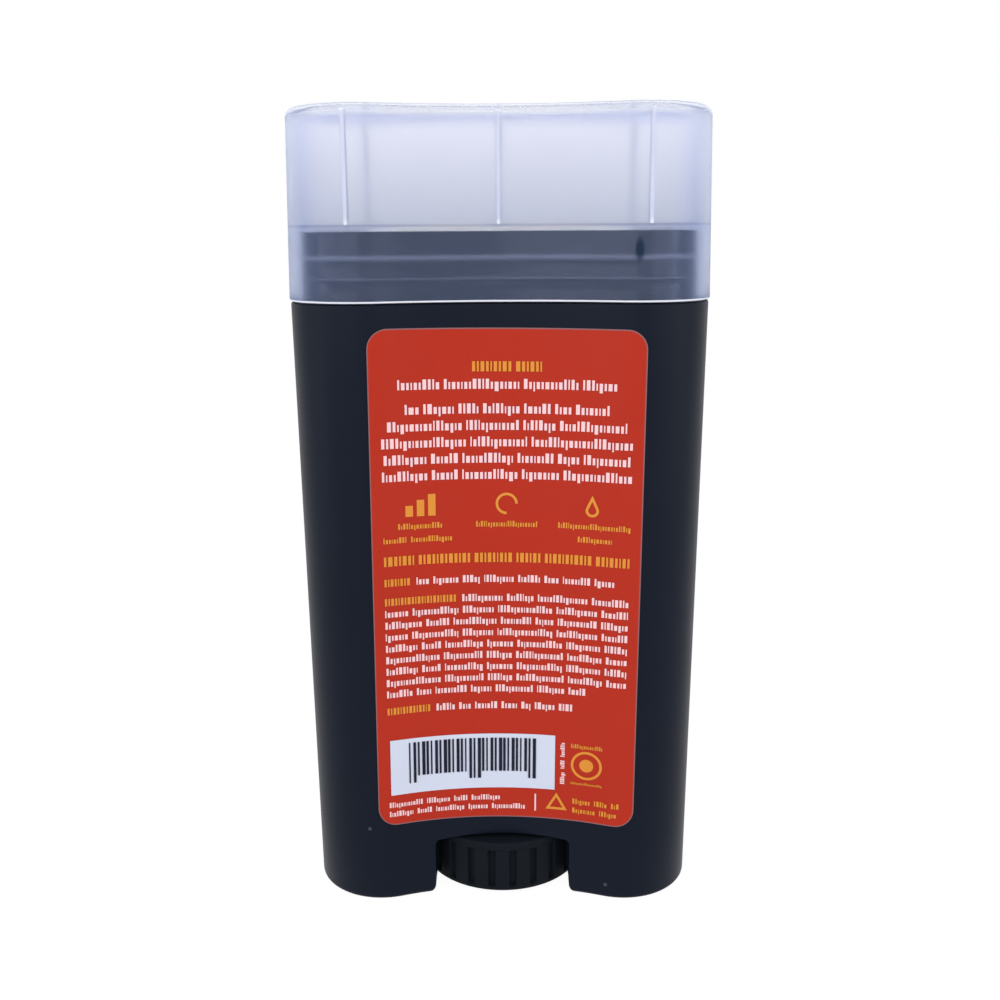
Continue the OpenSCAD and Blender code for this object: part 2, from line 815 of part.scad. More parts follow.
// Each row has the left and right ends of its line, its height on the label, the height of its print, the
// number of its words and the start of their uneven widths
white_rows = concat(
    [[lead_in - line_half, line_half - lead_in, lead_y, big_h, 4, 2]],
    [
        for (i = [0:len(para_in) - 1])
            [
                para_in[i] - line_half, line_half - para_in[i],
                para_y - i * big_pitch, big_h, para_words[i], 3 * i
            ]
    ],
    [[use_head + head_gap - line_half, line_half - use_end_in, use_y, small_h, 8, 5]],
    [
        for (i = [0:list_lines - 1])
            [
                i == 0 ? list_head + head_gap - line_half : -line_half,
                i == list_lines - 1 ? line_half - list_end_in : line_half,
                list_y - i * small_pitch, small_h, i == 0 ? 4 : 7 - i % 2, 4 * i + 1
            ]
    ],
    [
        [note_head + head_gap - line_half, line_half - note_end_in, note_y, small_h, 7, 9],
        [-line_half, rule_x - address_ends[0], address_y, tiny_h, 4, 11],
        [-line_half, rule_x - address_ends[1], address_y - address_pitch, tiny_h, 5, 17]
    ]
);

amber_rows = [
    [-heading_half, heading_half, heading_y, big_h, 2, 1],
    [chart_words[0] - icon_x, chart_words[1] - icon_x, caption_y, tiny_h, 1, 1],
    [chart_words_low[0] - icon_x, chart_words_low[1] - icon_x, caption_y - caption_pitch, tiny_h, 2, 2],
    [ring_words[0], ring_words[1], caption_y, tiny_h, 1, 1],
    [icon_x + drop_words[0], icon_x + drop_words[1], caption_y, tiny_h, 1, 1],
    [icon_x + drop_words_low[0], icon_x + drop_words_low[1], caption_y - caption_pitch, tiny_h, 1, 1],
    [-line_half, line_half, claim_y, big_h, 6, 7],
    [-line_half, use_head - line_half, use_y, small_h, 1, 1],
    [-line_half, list_head - line_half, list_y, small_h, 1, 1],
    [-line_half, note_head - line_half, note_y, small_h, 1, 1],
    [mark_x - mark_r, mark_x + mark_r, mark_y + mark_r + mark_gap, over_mark_h, 1, 1],
    [mark_x - mark_r, mark_x + mark_r, mark_y - mark_r - mark_gap, under_mark_h, 1, 1],
    [side_lines_x, line_half - side_lines_in[0], address_y, tiny_h, 3, 3],
    [side_lines_x, line_half - side_lines_in[1], address_y - address_pitch, tiny_h, 2, 8]
];

// One row of plain word blocks
module row_of_words(row) {
    count = row[4];
    weights = [for (k = [0:count - 1]) 0.5 + uneven(k + row[5])];
    sums = [
        for (k = 0, total = 0; k <= count; total = total + (k < count ? weights[k] : 0), k = k + 1)
            total
    ];
    room = (row[1] - row[0] - word_gap * (count - 1)) / sums[count];
    for (k = [0:count - 1])
        translate([row[0] + room * sums[k] + word_gap * k, row[2] - row[3] / 2])
            square([room * weights[k], row[3]]);
}

module back_print_white() {
    color(PRINT_WHITE)
        printed(-1) {
            for (row = white_rows)
                row_of_words(row);
            translate([rule_x, address_y - address_pitch / 2])
                square([rule_w, rule_h], center = true);
            translate([side_print_x, mark_y])
                rotate([0, 0, 90])
                    row_of_words([-side_print_half, side_print_half, 0, side_print_h, 3, 6]);
        }
}

// Ring, drop and triangle outlines
module ring_mark(r) {
    difference() {
        circle(r = r);
        circle(r = r - mark_line);
    }
}

module drop_shape(r) {
    side_turn = acos(1 / drop_reach);
    circle(r = r);
    polygon([
        [0, drop_reach * r],
        [-r * sin(side_turn), r * cos(side_turn)],
        [r * sin(side_turn), r * cos(side_turn)]
    ]);
}

module drop_mark(r) {
    difference() {
        drop_shape(r);
        drop_shape(r - mark_line);
    }
}

module triangle_mark(r) {
    difference() {
        circle(r = r, $fn = 3);
        circle(r = r - 2 * mark_line, $fn = 3);
    }
}

// Three rising bars, an open ring, a drop, a dotted ring and a triangle, in place of the printed marks
module back_print_amber() {
    drop_r = icon_h / (1 + drop_reach);
    color(PRINT_AMBER)
        printed(-1) {
            for (row = amber_rows)
                row_of_words(row);
            for (i = [0:2])
                translate([icon_h * (i / 2 - 0.7) - icon_x, icon_y - icon_h / 2])
                    square([icon_h / 3, icon_h * (0.5 + 0.25 * i)]);
            translate([0, icon_y])
                difference() {
                    ring_mark(icon_h / 2);
                    translate([0, -icon_h])
                        square([icon_h, icon_h]);
                }
            translate([icon_x, icon_y - icon_h / 2 + drop_r])
                drop_mark(drop_r);
            translate([mark_x, mark_y]) {
                ring_mark(mark_r);
                circle(r = mark_dot_r);
            }
            translate([triangle_x, address_y - address_pitch / 2])
                rotate([0, 0, 90])
                    triangle_mark(triangle_r);
        }
}

module code_panel() {
    color(PRINT_WHITE)
        printed(-1)
            translate([panel_x0, panel_y0])
                square([panel_w, panel_h]);
}

// Upright stripes of uneven widths over the panel, the outer and middle ones longer
module code_bars() {
    pitch = (stripes_x1 - stripes_x0) / stripes;
    top = panel_y1 - panel_border;
    color(PRINT_NAVY)
        wrapped(-1, print_high + print_gap, print_high + print_gap + print_t)
            for (k = [0:stripes - 1]) {
                long = k < 2 || k > stripes - 3 || abs(k - stripes / 2) < 1.5;
                h = long ? long_stripe_h : stripe_h;
                translate([stripes_x0 + k * pitch, top - h])
                    square([pitch * (0.3 + 0.5 * uneven(k)), h]);
            }
}

// Plain frame line and band on the unseen front
module front_print() {
    w = label_w - 2 * frame_in;
    h = label_h - 2 * frame_in;
    color(PRINT_AMBER)
        printed(1) {
            difference() {
                rounded_plate(w, h, label_r);
                rounded_plate(w - 2 * frame_line, h - 2 * frame_line, label_r - frame_line);
            }
            square([w - 4 * frame_in, band_h], center = true);
        }
}

barrel();
cap();
dial();
spindle();
elevator();
product();
back_label();
back_print_white();
back_print_amber();
code_panel();
code_bars();
front_label();
front_print();
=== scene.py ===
"""Looks of a twist-up deodorant stick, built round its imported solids.

Metres throughout, Z up, the stick stands on z = 0 and its printed back label faces -Y.
"""

import json
from math import acos, atan, cos, pi, radians, sin, sqrt

import bmesh
import bpy
from mathutils import Matrix, Vector


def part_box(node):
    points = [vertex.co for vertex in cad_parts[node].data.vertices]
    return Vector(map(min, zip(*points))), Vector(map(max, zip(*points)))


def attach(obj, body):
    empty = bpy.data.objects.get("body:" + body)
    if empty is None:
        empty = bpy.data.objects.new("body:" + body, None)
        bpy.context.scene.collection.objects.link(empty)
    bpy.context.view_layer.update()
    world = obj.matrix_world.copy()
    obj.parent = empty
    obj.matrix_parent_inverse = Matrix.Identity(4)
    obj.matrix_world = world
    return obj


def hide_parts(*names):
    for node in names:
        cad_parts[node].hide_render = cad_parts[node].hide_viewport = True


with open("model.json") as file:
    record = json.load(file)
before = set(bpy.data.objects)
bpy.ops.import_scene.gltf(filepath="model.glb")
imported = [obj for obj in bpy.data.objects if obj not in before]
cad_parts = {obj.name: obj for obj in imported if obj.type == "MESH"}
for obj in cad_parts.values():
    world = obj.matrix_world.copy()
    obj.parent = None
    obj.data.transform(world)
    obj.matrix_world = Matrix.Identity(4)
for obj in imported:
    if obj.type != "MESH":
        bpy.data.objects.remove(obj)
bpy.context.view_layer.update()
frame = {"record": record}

# Heights and reaches that the frame gives
BARREL_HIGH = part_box("barrel")[1]
CAP_LOW, CAP_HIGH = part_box("cap")
DIAL_LOW, DIAL_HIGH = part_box("dial")
SPINDLE_LOW, SPINDLE_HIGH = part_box("spindle")
ELEVATOR_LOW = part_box("elevator")[0]
PRODUCT_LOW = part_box("product")[0]
LABEL_LOW, LABEL_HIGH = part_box("front_label")
RIM_Z = BARREL_HIGH.z
SHOULDER_HALF = BARREL_HIGH.x
CAP_Z, CROWN_Z = CAP_LOW.z, CAP_HIGH.z

# How far joined shapes sink into each other, how far a cutter reaches past what it cuts, and what counts
# as touching
SINK = 0.0005
PAST = 0.001
TOUCH = 1e-5

# Angles in degrees: edges that look smooth, edges that are rounded, edges that the window cut
SMOOTH_UNDER = 32
ROUND_OVER = 35
CUT_OVER = 50

# Plan outline of the barrel
FOOT_HALF = 0.031
RIDGE_D = 0.03013
WAIST_D = 0.0235
CORNER_R = 0.011
CORNER_STEPS = 22
WAIST_STEPS = 30

# Barrel
SHOULDER_Z = 0.0967
SHOULDER_R = 0.0004
FOOT_R = 0.0008
NECK_WALL = 0.0012
NECK_GAP = 0.0004
RIM_EDGE = 0.00035
BEADS = ((0.0065, 0.00014), (0.0035, 0.0002))
BEAD_H = 0.0011
FLOOR_Z = 0.0108
FLOOR_T = 0.0016
FLOOR_TOP = FLOOR_Z + FLOOR_T
SKIRT_WALL = 0.002
WINDOW_HALF = 0.011
WINDOW_H = 0.0097
WINDOW_RISE = 0.0006
WINDOW_R = 0.001
WINDOW_FLARE_R = 0.0016
WINDOW_EDGE = 0.00022
BOSS_R = 0.0065
BOSS_H = 0.001
POCKET_R = 0.0144
POCKET_WALL = 0.0012
POCKET_LOW = 0.0015
POCKET_SIDES = 144

# Cap
CAP_WALL = 0.0015
CAP_TOP = 0.0017
CAP_STEP = 0.000196
CAP_LEAN = 0.00065
CAP_R = 0.0014
CAP_CROWN = 0.0003
MOUTH_EDGE = 0.00022
CEILING_Z = CROWN_Z - CAP_TOP
RIB_X = 0.0219
RIB_T = 0.0007
RIB_OUT = 0.0012
RIB_GAP = 0.0008
RIB_EDGE = 0.0002
LIP_H, LIP_DEEP, LIP_PROUD = 0.00028, 0.0005, 0.000003
CROWN_SHARES = (0.02, 0.15, 0.3, 0.45, 0.6, 0.75, 0.88)

# Thumb wheel
FLUTES = 24
FLUTE_LIP = 0.0001
FLUTE_SHAPE = (
    (-0.31, 0), (-0.15, 0), (0, 0), (0.15, 0), (0.31, 0), (0.34, 0.25),
    (0.4, 0.9), (0.46, 1), (0.5, 1), (0.54, 1), (0.6, 0.9), (0.66, 0.25),
)
GROOVE_D = 0.0008
DIAL_WALL = 0.0014
DIAL_RIM_H = 0.0006
DIAL_PLATE_TOP = 0.0094
DIAL_PLATE_LOW = 0.008
HUB_R = 0.0056
SPOKES = 6
SPOKE_T = 0.001
SPOKE_UP = 0.0032
SOCKET_R = 0.00385
SOCKET_LOW = 0.00455

# Spindle
SCREW_R = 0.0038
ROOT_R = 0.0029
THREAD_LEAD = 0.004
THREAD_ROOT, THREAD_CREST, THREAD_SINK = 0.001, 0.0004, 0.0003
JOURNAL_R = 0.0046
FLANGE_R = 0.007
FLANGE_LOW = 0.01355
FLANGE_TOP = 0.01475
HUB_TOP = DIAL_HIGH.z
TIP_H = 0.0012

# Platform and solid stick
PLATFORM_GAP = 0.0003
PLATFORM_T = 0.0016
PLATFORM_WALL = 0.0011
PLATFORM_SKIRT = 0.006
PLATFORM_LOW = ELEVATOR_LOW.z + PLATFORM_SKIRT
PLATFORM_Z = PLATFORM_LOW + PLATFORM_T
NUT_R = 0.0062
NUT_UP = 0.003
NUT_BORE = 0.00386
FIN_X, FIN_L, FIN_T, FIN_H = 0.015, 0.012, 0.001, 0.007
STICK_H = 0.026
STICK_GAP = 0.00035
STICK_EDGE = 0.0002
CAST_GAP = 0.00005
CORE_R = 0.00415
DOME_H = 0.0065
DOME_POWER = 0.55
DOME_TURNS = (88, 84, 79, 74, 68, 62, 55, 48, 40, 32, 24, 16, 8, 0)

# Labels and print
LABEL_W = 0.041
BACK_OFF = 0.0009
BACK_TURN = radians(-0.4)
LABEL_R = 0.003
LABEL_LIFT = 0.00005
LABEL_T = 0.00015
CUT_LINE = 0.00028
STRIP_W = 0.0012
PRINT_LIFT = 0.00022
PRINT_T = 0.00008
LABEL_Z = LABEL_LOW.z
LABEL_H = LABEL_HIGH.z - LABEL_Z
LABEL_MID = LABEL_Z + LABEL_H / 2

# Share of a soft spot's size that is evenly dark, share of the paler colour of the painted bead highlights
# that a speck takes, and height over which the neck's gloss sets in
SPOT_CORE = 0.4
SPECK_SHARE = 0.35
SHOULDER_SOFT = 0.0002

# Camera: its place, its pan, tilt and roll, its lens and its sensor's width in millimetres
CAMERA_PLACE = (0.00174, -0.178375, 0.10741)
CAMERA_TURN = (0.01061, radians(90) - 0.23861, -0.00614)
LENS = 40.28
SENSOR_W = 36

# White floor and room: strength of the floor's glow and share of it that is seen, room's strength as it
# lights the stick and as it is seen
FLOOR_GLOW, FLOOR_SHARE = 1.06, 0.9
ROOM_LIT, ROOM_SEEN = 0.55, 1.0

# Name, place, target, size and power of each lamp
LAMPS = (
    ("key lamp", (-0.35, -0.55, 0.45), (0, 0, 0.06), (0.9, 0.9), 2.95),
    ("fill lamp", (0.5, -0.45, 0.25), (0, 0, 0.06), (0.6, 0.6), 1.2),
    ("left strip", (-0.35, -0.12, 0.12), (0, 0, 0.08), (0.12, 0.4), 0.22),
    ("right strip", (0.35, -0.12, 0.12), (0, 0, 0.08), (0.12, 0.4), 0.22),
)


def plan(half_w, inset):
    """Half-sizes of the outline inside half_w by inset, its corner radius, and its hollow faces' radius.

    The hollow faces meet the corner arcs without a kink.
    """
    a, b, w, r = half_w - inset, RIDGE_D / 2 - inset, WAIST_D / 2 - inset, CORNER_R - inset
    return a, b, w, r, ((a - r) ** 2 + (w - b + r) ** 2 - r * r) / (2 * (b - w))


def arc(cx, cy, r, start, end, steps):
    turns = [start + (end - start) * i / steps for i in range(steps + 1)]
    return [(cx + r * cos(t), cy + r * sin(t)) for t in turns]


def circle(cx, cy, r, sides=48):
    return arc(cx, cy, r, 0, 2 * pi * (1 - 1 / sides), sides - 1)


def outline(half_w, inset):
    """Plan outline, anticlockwise: four corner arcs and two hollow arcs."""
    a, b, w, r, big = plan(half_w, inset)
    x, y, quarter = a - r, b - r, pi / 2
    phi = atan(x / (big + w - y))
    dt = 2 * phi / WAIST_STEPS
    return (
        arc(x, -y, r, -quarter - phi, 0, CORNER_STEPS)
        + arc(x, y, r, 0, quarter + phi, CORNER_STEPS)
        + arc(0, big + w, big, phi - dt - quarter, dt - phi - quarter, WAIST_STEPS - 2)
        + arc(-x, y, r, quarter - phi, 2 * quarter, CORNER_STEPS)
        + arc(-x, -y, r, 2 * quarter, 3 * quarter + phi, CORNER_STEPS)
        + arc(0, -big - w, big, quarter + phi - dt, quarter - phi + dt, WAIST_STEPS - 2)
    )


def ring(half_w, inset, z):
    return [(x, y, z) for x, y in outline(half_w, inset)]


def depth_at(half_w, inset, x):
    """Depth from the middle plane to the outline at x."""
    a, b, w, r, big = plan(half_w, inset)
    cx, cy = a - r, b - r
    if abs(x) < cx * big / (big + r):
        return w + big - sqrt(big * big - x * x)
    return cy + sqrt(max(r * r - (abs(x) - cx) ** 2, 0))


def half_width(z):
    """Half-width of the barrel's outside, which widens from the foot to the shoulder."""
    return FOOT_HALF + (SHOULDER_HALF - FOOT_HALF) * z / SHOULDER_Z


def cap_out(z):
    """Inset of the cap's outside at a height, measured from the shoulder's outline."""
    return (z - CAP_Z) * CAP_LEAN / (CROWN_Z - CAP_Z) - CAP_STEP


def cap_in(z):
    return cap_out(z) + CAP_WALL


def neck(z):
    return cap_in(z) + NECK_GAP


BORE = neck(RIM_Z) + NECK_WALL


def edge(inset, z, r, start, end, steps=5):
    """Points of a rounded edge in the plane of inset and height, from one turn in degrees to another."""
    return arc(inset, z, r, radians(start), radians(end), steps)


def deselect():
    bpy.ops.object.select_all(action="DESELECT")


def select_only(piece):
    deselect()
    piece.select_set(True)
    bpy.context.view_layer.objects.active = piece


def named(name, scale=(1, 1, 1)):
    """Names the primitive that was just added, with its place and size settled into its mesh."""
    piece = bpy.context.object
    piece.name = piece.data.name = name
    piece.scale = scale
    bpy.ops.object.transform_apply(location=True, rotation=True, scale=True)
    return piece


def open_mesh(piece):
    """Edit mode on one piece, with all of it selected."""
    select_only(piece)
    bpy.ops.object.mode_set(mode="EDIT")
    bpy.ops.mesh.select_all(action="SELECT")


def close_mesh():
    bpy.ops.object.mode_set(mode="OBJECT")


def open_numbered(piece):
    """Edit mode on a new circle, whose points keep their numbers through every extrusion."""
    open_mesh(piece)
    mesh = bmesh.from_edit_mesh(piece.data)
    number = mesh.verts.layers.int.new("number")
    for i, vert in enumerate(mesh.verts):
        vert[number] = i


def close_numbered(piece):
    mesh = bmesh.from_edit_mesh(piece.data)
    mesh.verts.layers.int.remove(mesh.verts.layers.int["number"])
    close_mesh()


def set_selected(piece, points):
    """Moves each selected vertex to the point that has its number."""
    mesh = bmesh.from_edit_mesh(piece.data)
    number = mesh.verts.layers.int["number"]
    for vert in mesh.verts:
        if vert.select:
            vert.co = points[vert[number]]
    bmesh.update_edit_mesh(piece.data)


def loft(name, rings):
    """A closed skin: a filled circle set on the first ring and extruded from ring to ring."""
    deselect()
    bpy.ops.mesh.primitive_circle_add(vertices=len(rings[0]), radius=SHOULDER_HALF, fill_type="NGON")
    piece = named(name)
    open_numbered(piece)
    set_selected(piece, rings[0])
    for points in rings[1:]:
        bpy.ops.mesh.extrude_region_move()
        set_selected(piece, points)
    bpy.ops.mesh.select_all(action="SELECT")
    bpy.ops.mesh.normals_make_consistent(inside=False)
    close_numbered(piece)
    return piece


def cylinder(name, r, low, high, sides=96):
    deselect()
    bpy.ops.mesh.primitive_cylinder_add(
        vertices=sides, radius=r, depth=high - low, location=(0, 0, (low + high) / 2)
    )
    return named(name)


def block(name, low, high, rounding=0):
    """A box between two corners, with its edges rounded where that is asked."""
    low, high = Vector(low), Vector(high)
    deselect()
    bpy.ops.mesh.primitive_cube_add(size=1, location=(low + high) / 2)
    piece = named(name, high - low)
    if rounding:
        apply(
            piece, "BEVEL", width=rounding, segments=2, limit_method="ANGLE",
            angle_limit=radians(ROUND_OVER), use_clamp_overlap=True,
        )
    return piece


def apply(piece, kind, **settings):
    """Adds a modifier with these settings and applies it."""
    select_only(piece)
    modifier = piece.modifiers.new(kind.lower(), kind)
    for key, value in settings.items():
        setattr(modifier, key, value)
    bpy.ops.object.modifier_apply(modifier=modifier.name)


def combine(piece, tool, operation):
    """Adds a tool's shape to a piece, cuts it out or keeps what both share, and takes the tool away."""
    apply(piece, "BOOLEAN", operation=operation, object=tool, solver="EXACT")
    bpy.data.objects.remove(tool)


def joined(pieces, name):
    """Joins pieces into the first of them, under one name."""
    select_only(pieces[0])
    for piece in pieces:
        piece.select_set(True)
    if len(pieces) > 1:
        bpy.ops.object.join()
    pieces[0].name = pieces[0].data.name = name
    return pieces[0]


def dress(piece, node, look=None):
    """Puts a finished piece in the place of its node, in the look of this name or of the node's own."""
    select_only(piece)
    bpy.ops.object.shade_smooth_by_angle(angle=radians(SMOOTH_UNDER))
    piece.data.materials.clear()
    piece.data.materials.append(LOOKS[look or node])
    body = next(b for b, members in frame["record"]["behaviour"]["bodies"].items() if node in members)
    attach(piece, body)
    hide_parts(node)


# Camera


def add_camera():
    """Just above the cap's height, looking down a little, as the photograph does."""
    deselect()
    bpy.ops.object.camera_add()
    camera = bpy.context.object
    camera.data.lens = LENS
    camera.data.sensor_width = SENSOR_W
    camera.data.clip_start = 0.01
    pan, tilt, roll = CAMERA_TURN
    turn = Matrix.Rotation(pan, 4, "Z") @ Matrix.Rotation(tilt, 4, "X") @ Matrix.Rotation(roll, 4, "Z")
    camera.matrix_world = Matrix.Translation(CAMERA_PLACE) @ turn
    bpy.context.scene.camera = camera


# Shader groups and materials


def new_group(name, inputs, outputs):
    """A shader group, the values that it is given and those that it makes, each named under its kind."""
    group = bpy.data.node_groups.new(name, "ShaderNodeTree")
    for way, kinds in (("INPUT", inputs), ("OUTPUT", outputs)):
        for kind, names in kinds.items():
            for socket in names:
                group.interface.new_socket(name=socket, in_out=way, socket_type="NodeSocket" + kind)
    return group, group.nodes.new("NodeGroupInput").outputs, group.nodes.new("NodeGroupOutput").inputs


def fill(tree, sockets, values):
    """Links each socket that is named or numbered to another, or sets it to a plain value."""
    for key, value in dict(values).items():
        if isinstance(value, bpy.types.NodeSocket):
            tree.links.new(value, sockets[key])
        else:
            sockets[key].default_value = value


def add(tree, kind, values=(), **settings):
    """Adds a node, sets its fields and links or fills its inputs."""
    node = tree.nodes.new("ShaderNode" + kind)
    for key, value in settings.items():
        setattr(node, key, value)
    fill(tree, node.inputs, values)
    return node


def calc(tree, operation, *values):
    """What a Math node makes of sockets or plain numbers."""
    return add(tree, "Math", enumerate(values), operation=operation).outputs[0]


def vector_calc(tree, operation, *values):
    return add(tree, "VectorMath", enumerate(values), operation=operation).outputs


def place_in(tree):
    return add(tree, "TexCoord").outputs["Object"]


def height_in(tree):
    return add(tree, "SeparateXYZ", {"Vector": place_in(tree)}).outputs["Z"]


def blend(tree, share, first, second):
    """Mixes two colours, each a socket or a plain value."""
    return add(tree, "Mix", {0: share, 6: first, 7: second}, data_type="RGBA").outputs[2]


def ramp(tree, value, low, high, kind="SMOOTHSTEP"):
    """Share from nothing at the low value to all at the high one."""
    return add(
        tree, "MapRange", {"Value": value, "From Min": low, "From Max": high}, interpolation_type=kind
    ).outputs["Result"]


def spot(tree, place, size):
    """Share of a surface point in a soft spot of this half size round this place."""
    off = vector_calc(tree, "SUBTRACT", place_in(tree), place)[0]
    off = vector_calc(tree, "DIVIDE", off, size)[0]
    return ramp(tree, vector_calc(tree, "LENGTH", off)["Value"], 1.0, SPOT_CORE)


def moulded_group():
    """Moulded plastic: soft mottling of colour and gloss, and a fine grain."""
    group, given, made = new_group(
        "moulded plastic",
        {
            "Color": ("Color",),
            "Float": ("Mottling", "Roughness", "Gloss Spread", "Grain Size", "Grain Height"),
        },
        {"Color": ("Color",), "Float": ("Roughness",), "Vector": ("Normal",)},
    )
    place = place_in(group)
    broad = add(group, "TexNoise", {"Vector": place, "Scale": 90.0, "Detail": 4.0}).outputs["Fac"]
    centred = calc(group, "SUBTRACT", broad, 0.5)
    shade = calc(group, "MULTIPLY_ADD", centred, given["Mottling"], 1.0)
    colour = add(group, "VectorMath", {0: given["Color"], "Scale": shade}, operation="SCALE")
    fineness = calc(group, "DIVIDE", 1.0, given["Grain Size"])
    grain = add(group, "TexNoise", {"Vector": place, "Scale": fineness, "Detail": 2.0}).outputs["Fac"]
    bump = add(group, "Bump", {"Height": grain, "Distance": given["Grain Height"]})
    rough = calc(group, "MULTIPLY_ADD", centred, given["Gloss Spread"], given["Roughness"])
    fill(group, made, {"Color": colour.outputs[0], "Roughness": rough, "Normal": bump.outputs[0]})
    return group


def border_group():
    """A line along the edge of a rounded rectangle in X and Z, as a mask."""
    group, given, made = new_group(
        "border line",
        {"Vector": ("Middle", "Turn"), "Float": ("Half Width", "Half Height", "Corner", "Line")},
        {"Float": ("Mask",)},
    )
    place = add(
        group, "Mapping",
        {"Vector": place_in(group), "Location": given["Middle"], "Rotation": given["Turn"]},
        vector_type="TEXTURE",
    )
    place = add(group, "SeparateXYZ", {"Vector": place.outputs[0]}).outputs

    def past(position, half):
        """How far a place lies past the corner circles' centres along one axis."""
        inner = calc(group, "SUBTRACT", half, given["Corner"])
        return calc(group, "SUBTRACT", calc(group, "ABSOLUTE", position), inner)

    x, z = past(place["X"], given["Half Width"]), past(place["Z"], given["Half Height"])
    x_out, z_out = calc(group, "MAXIMUM", x, 0.0), calc(group, "MAXIMUM", z, 0.0)
    corner = add(group, "CombineXYZ", {"X": x_out, "Y": z_out}).outputs[0]
    outer = vector_calc(group, "LENGTH", corner)["Value"]
    inner = calc(group, "MINIMUM", calc(group, "MAXIMUM", x, z), 0.0)
    start = calc(group, "SUBTRACT", given["Corner"], given["Line"])
    fill(group, made, {"Mask": ramp(group, calc(group, "ADD", outer, inner), start, given["Corner"])})
    return group


def haze_and_shade_group():
    """Tint of the frosted cap, with painted light and shade: painted whitest in its solid crown, painted
    darker towards the black neck that it holds, with a painted darker band below the step over the neck's
    rim and a painted shadow line along the step, and a smudge.
    """
    group, given, made = new_group(
        "cap haze and painted shade",
        {
            "Color": ("Crown", "High", "Low", "Band", "Line", "Smudge"),
            "Float": ("Ceiling", "Step", "Line Width", "Wall Roughness", "Crown Roughness"),
            "Vector": ("Smudge Place", "Smudge Size"),
        },
        {"Color": ("Color",), "Float": ("Roughness",)},
    )
    z, width = height_in(group), given["Line Width"]
    above = calc(group, "SUBTRACT", z, given["Step"])
    in_crown = ramp(group, calc(group, "SUBTRACT", z, given["Ceiling"]), 0.0, width)
    colour = given["Low"]
    # Painted light and shade by height: Low to High lightens the wall upwards, Band darkens all below the
    # step, Line is a painted shadow line at the step, Crown whitens the crown; Smudge is a real mark
    for share, second in (
        (ramp(group, z, given["Step"], given["Ceiling"], "LINEAR"), "High"),
        (ramp(group, above, width, 0.0), "Band"),
        (ramp(group, calc(group, "ABSOLUTE", above), width, 0.0), "Line"),
        (in_crown, "Crown"),
        (spot(group, given["Smudge Place"], given["Smudge Size"]), "Smudge"),
    ):
        colour = blend(group, share, colour, given[second])
    rough = add(
        group, "MapRange",
        {"Value": in_crown, "To Min": given["Wall Roughness"], "To Max": given["Crown Roughness"]},
    )
    fill(group, made, {"Color": colour, "Roughness": rough.outputs["Result"]})
    return group


def bands_group():
    """Painted highlights: paler bands round the neck on its beads, standing in for their sheen under the
    cap, and two pale specks by the foot.
    """
    group, given, made = new_group(
        "painted neck highlights and specks",
        {
            "Color": ("Color", "Highlight And Speck"),
            "Float": ("Upper", "Lower", "Width", "Shoulder", "Neck Gloss"),
            "Vector": ("Speck 1", "Speck 2", "Speck Size"),
        },
        {"Color": ("Color",), "Float": ("Coat Weight",)},
    )
    z, share = height_in(group), 0.0
    for name, part in (("Upper", 1.0), ("Lower", 0.45)):
        off = calc(group, "ABSOLUTE", calc(group, "SUBTRACT", z, given[name]))
        on = ramp(group, off, calc(group, "MULTIPLY", given["Width"], part), 0.0)
        share = calc(group, "MAXIMUM", calc(group, "MULTIPLY", on, part), share)
    for name in ("Speck 1", "Speck 2"):
        on = spot(group, given[name], given["Speck Size"])
        share = calc(group, "MAXIMUM", calc(group, "MULTIPLY", on, SPECK_SHARE), share)
    on_neck = ramp(group, calc(group, "SUBTRACT", z, given["Shoulder"]), 0.0, SHOULDER_SOFT)
    fill(group, made, {
        "Color": blend(group, share, given["Color"], given["Highlight And Speck"]),
        "Coat Weight": calc(group, "MULTIPLY", on_neck, given["Neck Gloss"]),
    })
    return group


MOULDED = moulded_group()
BORDER = border_group()
HAZE_AND_SHADE = haze_and_shade_group()
BANDS = bands_group()


def shader_of(material):
    return material.node_tree.nodes["Principled BSDF"]


def plastic(
    name, colour, roughness, mottling=0.15, gloss_spread=0.08, grain=0.0003, grain_height=0.000004,
    specular=0.5, **shader
):
    """A material of moulded plastic, ink or wax. What is the same all over is set on the shader itself."""
    material = bpy.data.materials.new(name)
    material.use_nodes = True
    tree, principled = material.node_tree, shader_of(material)
    surface = add(tree, "Group", {
        "Color": (*colour, 1), "Mottling": mottling, "Roughness": roughness,
        "Gloss Spread": gloss_spread, "Grain Size": grain, "Grain Height": grain_height,
    }, node_tree=MOULDED).outputs
    fill(tree, principled.inputs, {
        "Base Color": surface["Color"], "Roughness": surface["Roughness"], "Normal": surface["Normal"],
        "Specular IOR Level": specular,
    })
    fill(tree, principled.inputs, {key.replace("_", " ").title(): value for key, value in shader.items()})
    return material


def label_film(name, off, turn):
    """Semi-gloss orange-red film with the pale line of its cut edge."""
    material = plastic(
        name, (0.425, 0.0243, 0.0086), 0.38, mottling=0.1, grain=0.0009, grain_height=0.000006, specular=0.15
    )
    tree, taken = material.node_tree, shader_of(material).inputs
    line = add(tree, "Group", {
        "Middle": (off, 0, LABEL_MID), "Turn": (0, -turn, 0), "Half Width": LABEL_W / 2,
        "Half Height": LABEL_H / 2, "Corner": LABEL_R, "Line": CUT_LINE,
    }, node_tree=BORDER)
    film = taken["Base Color"].links[0].from_socket
    fill(tree, taken, {"Base Color": blend(tree, line.outputs["Mask"], film, (0.22, 0.14, 0.16, 1))})
    return material


def coloured_by(material, group, values):
    """Feeds a material's mottling with the colour that a group gives, with these values."""
    tree = material.node_tree
    surface = next(n for n in tree.nodes if n.type == "GROUP" and n.node_tree == MOULDED)
    for output in add(tree, "Group", values, node_tree=group).outputs:
        taker = surface if output.name in surface.inputs else shader_of(material)
        fill(tree, taker.inputs, {output.name: output})
    return material


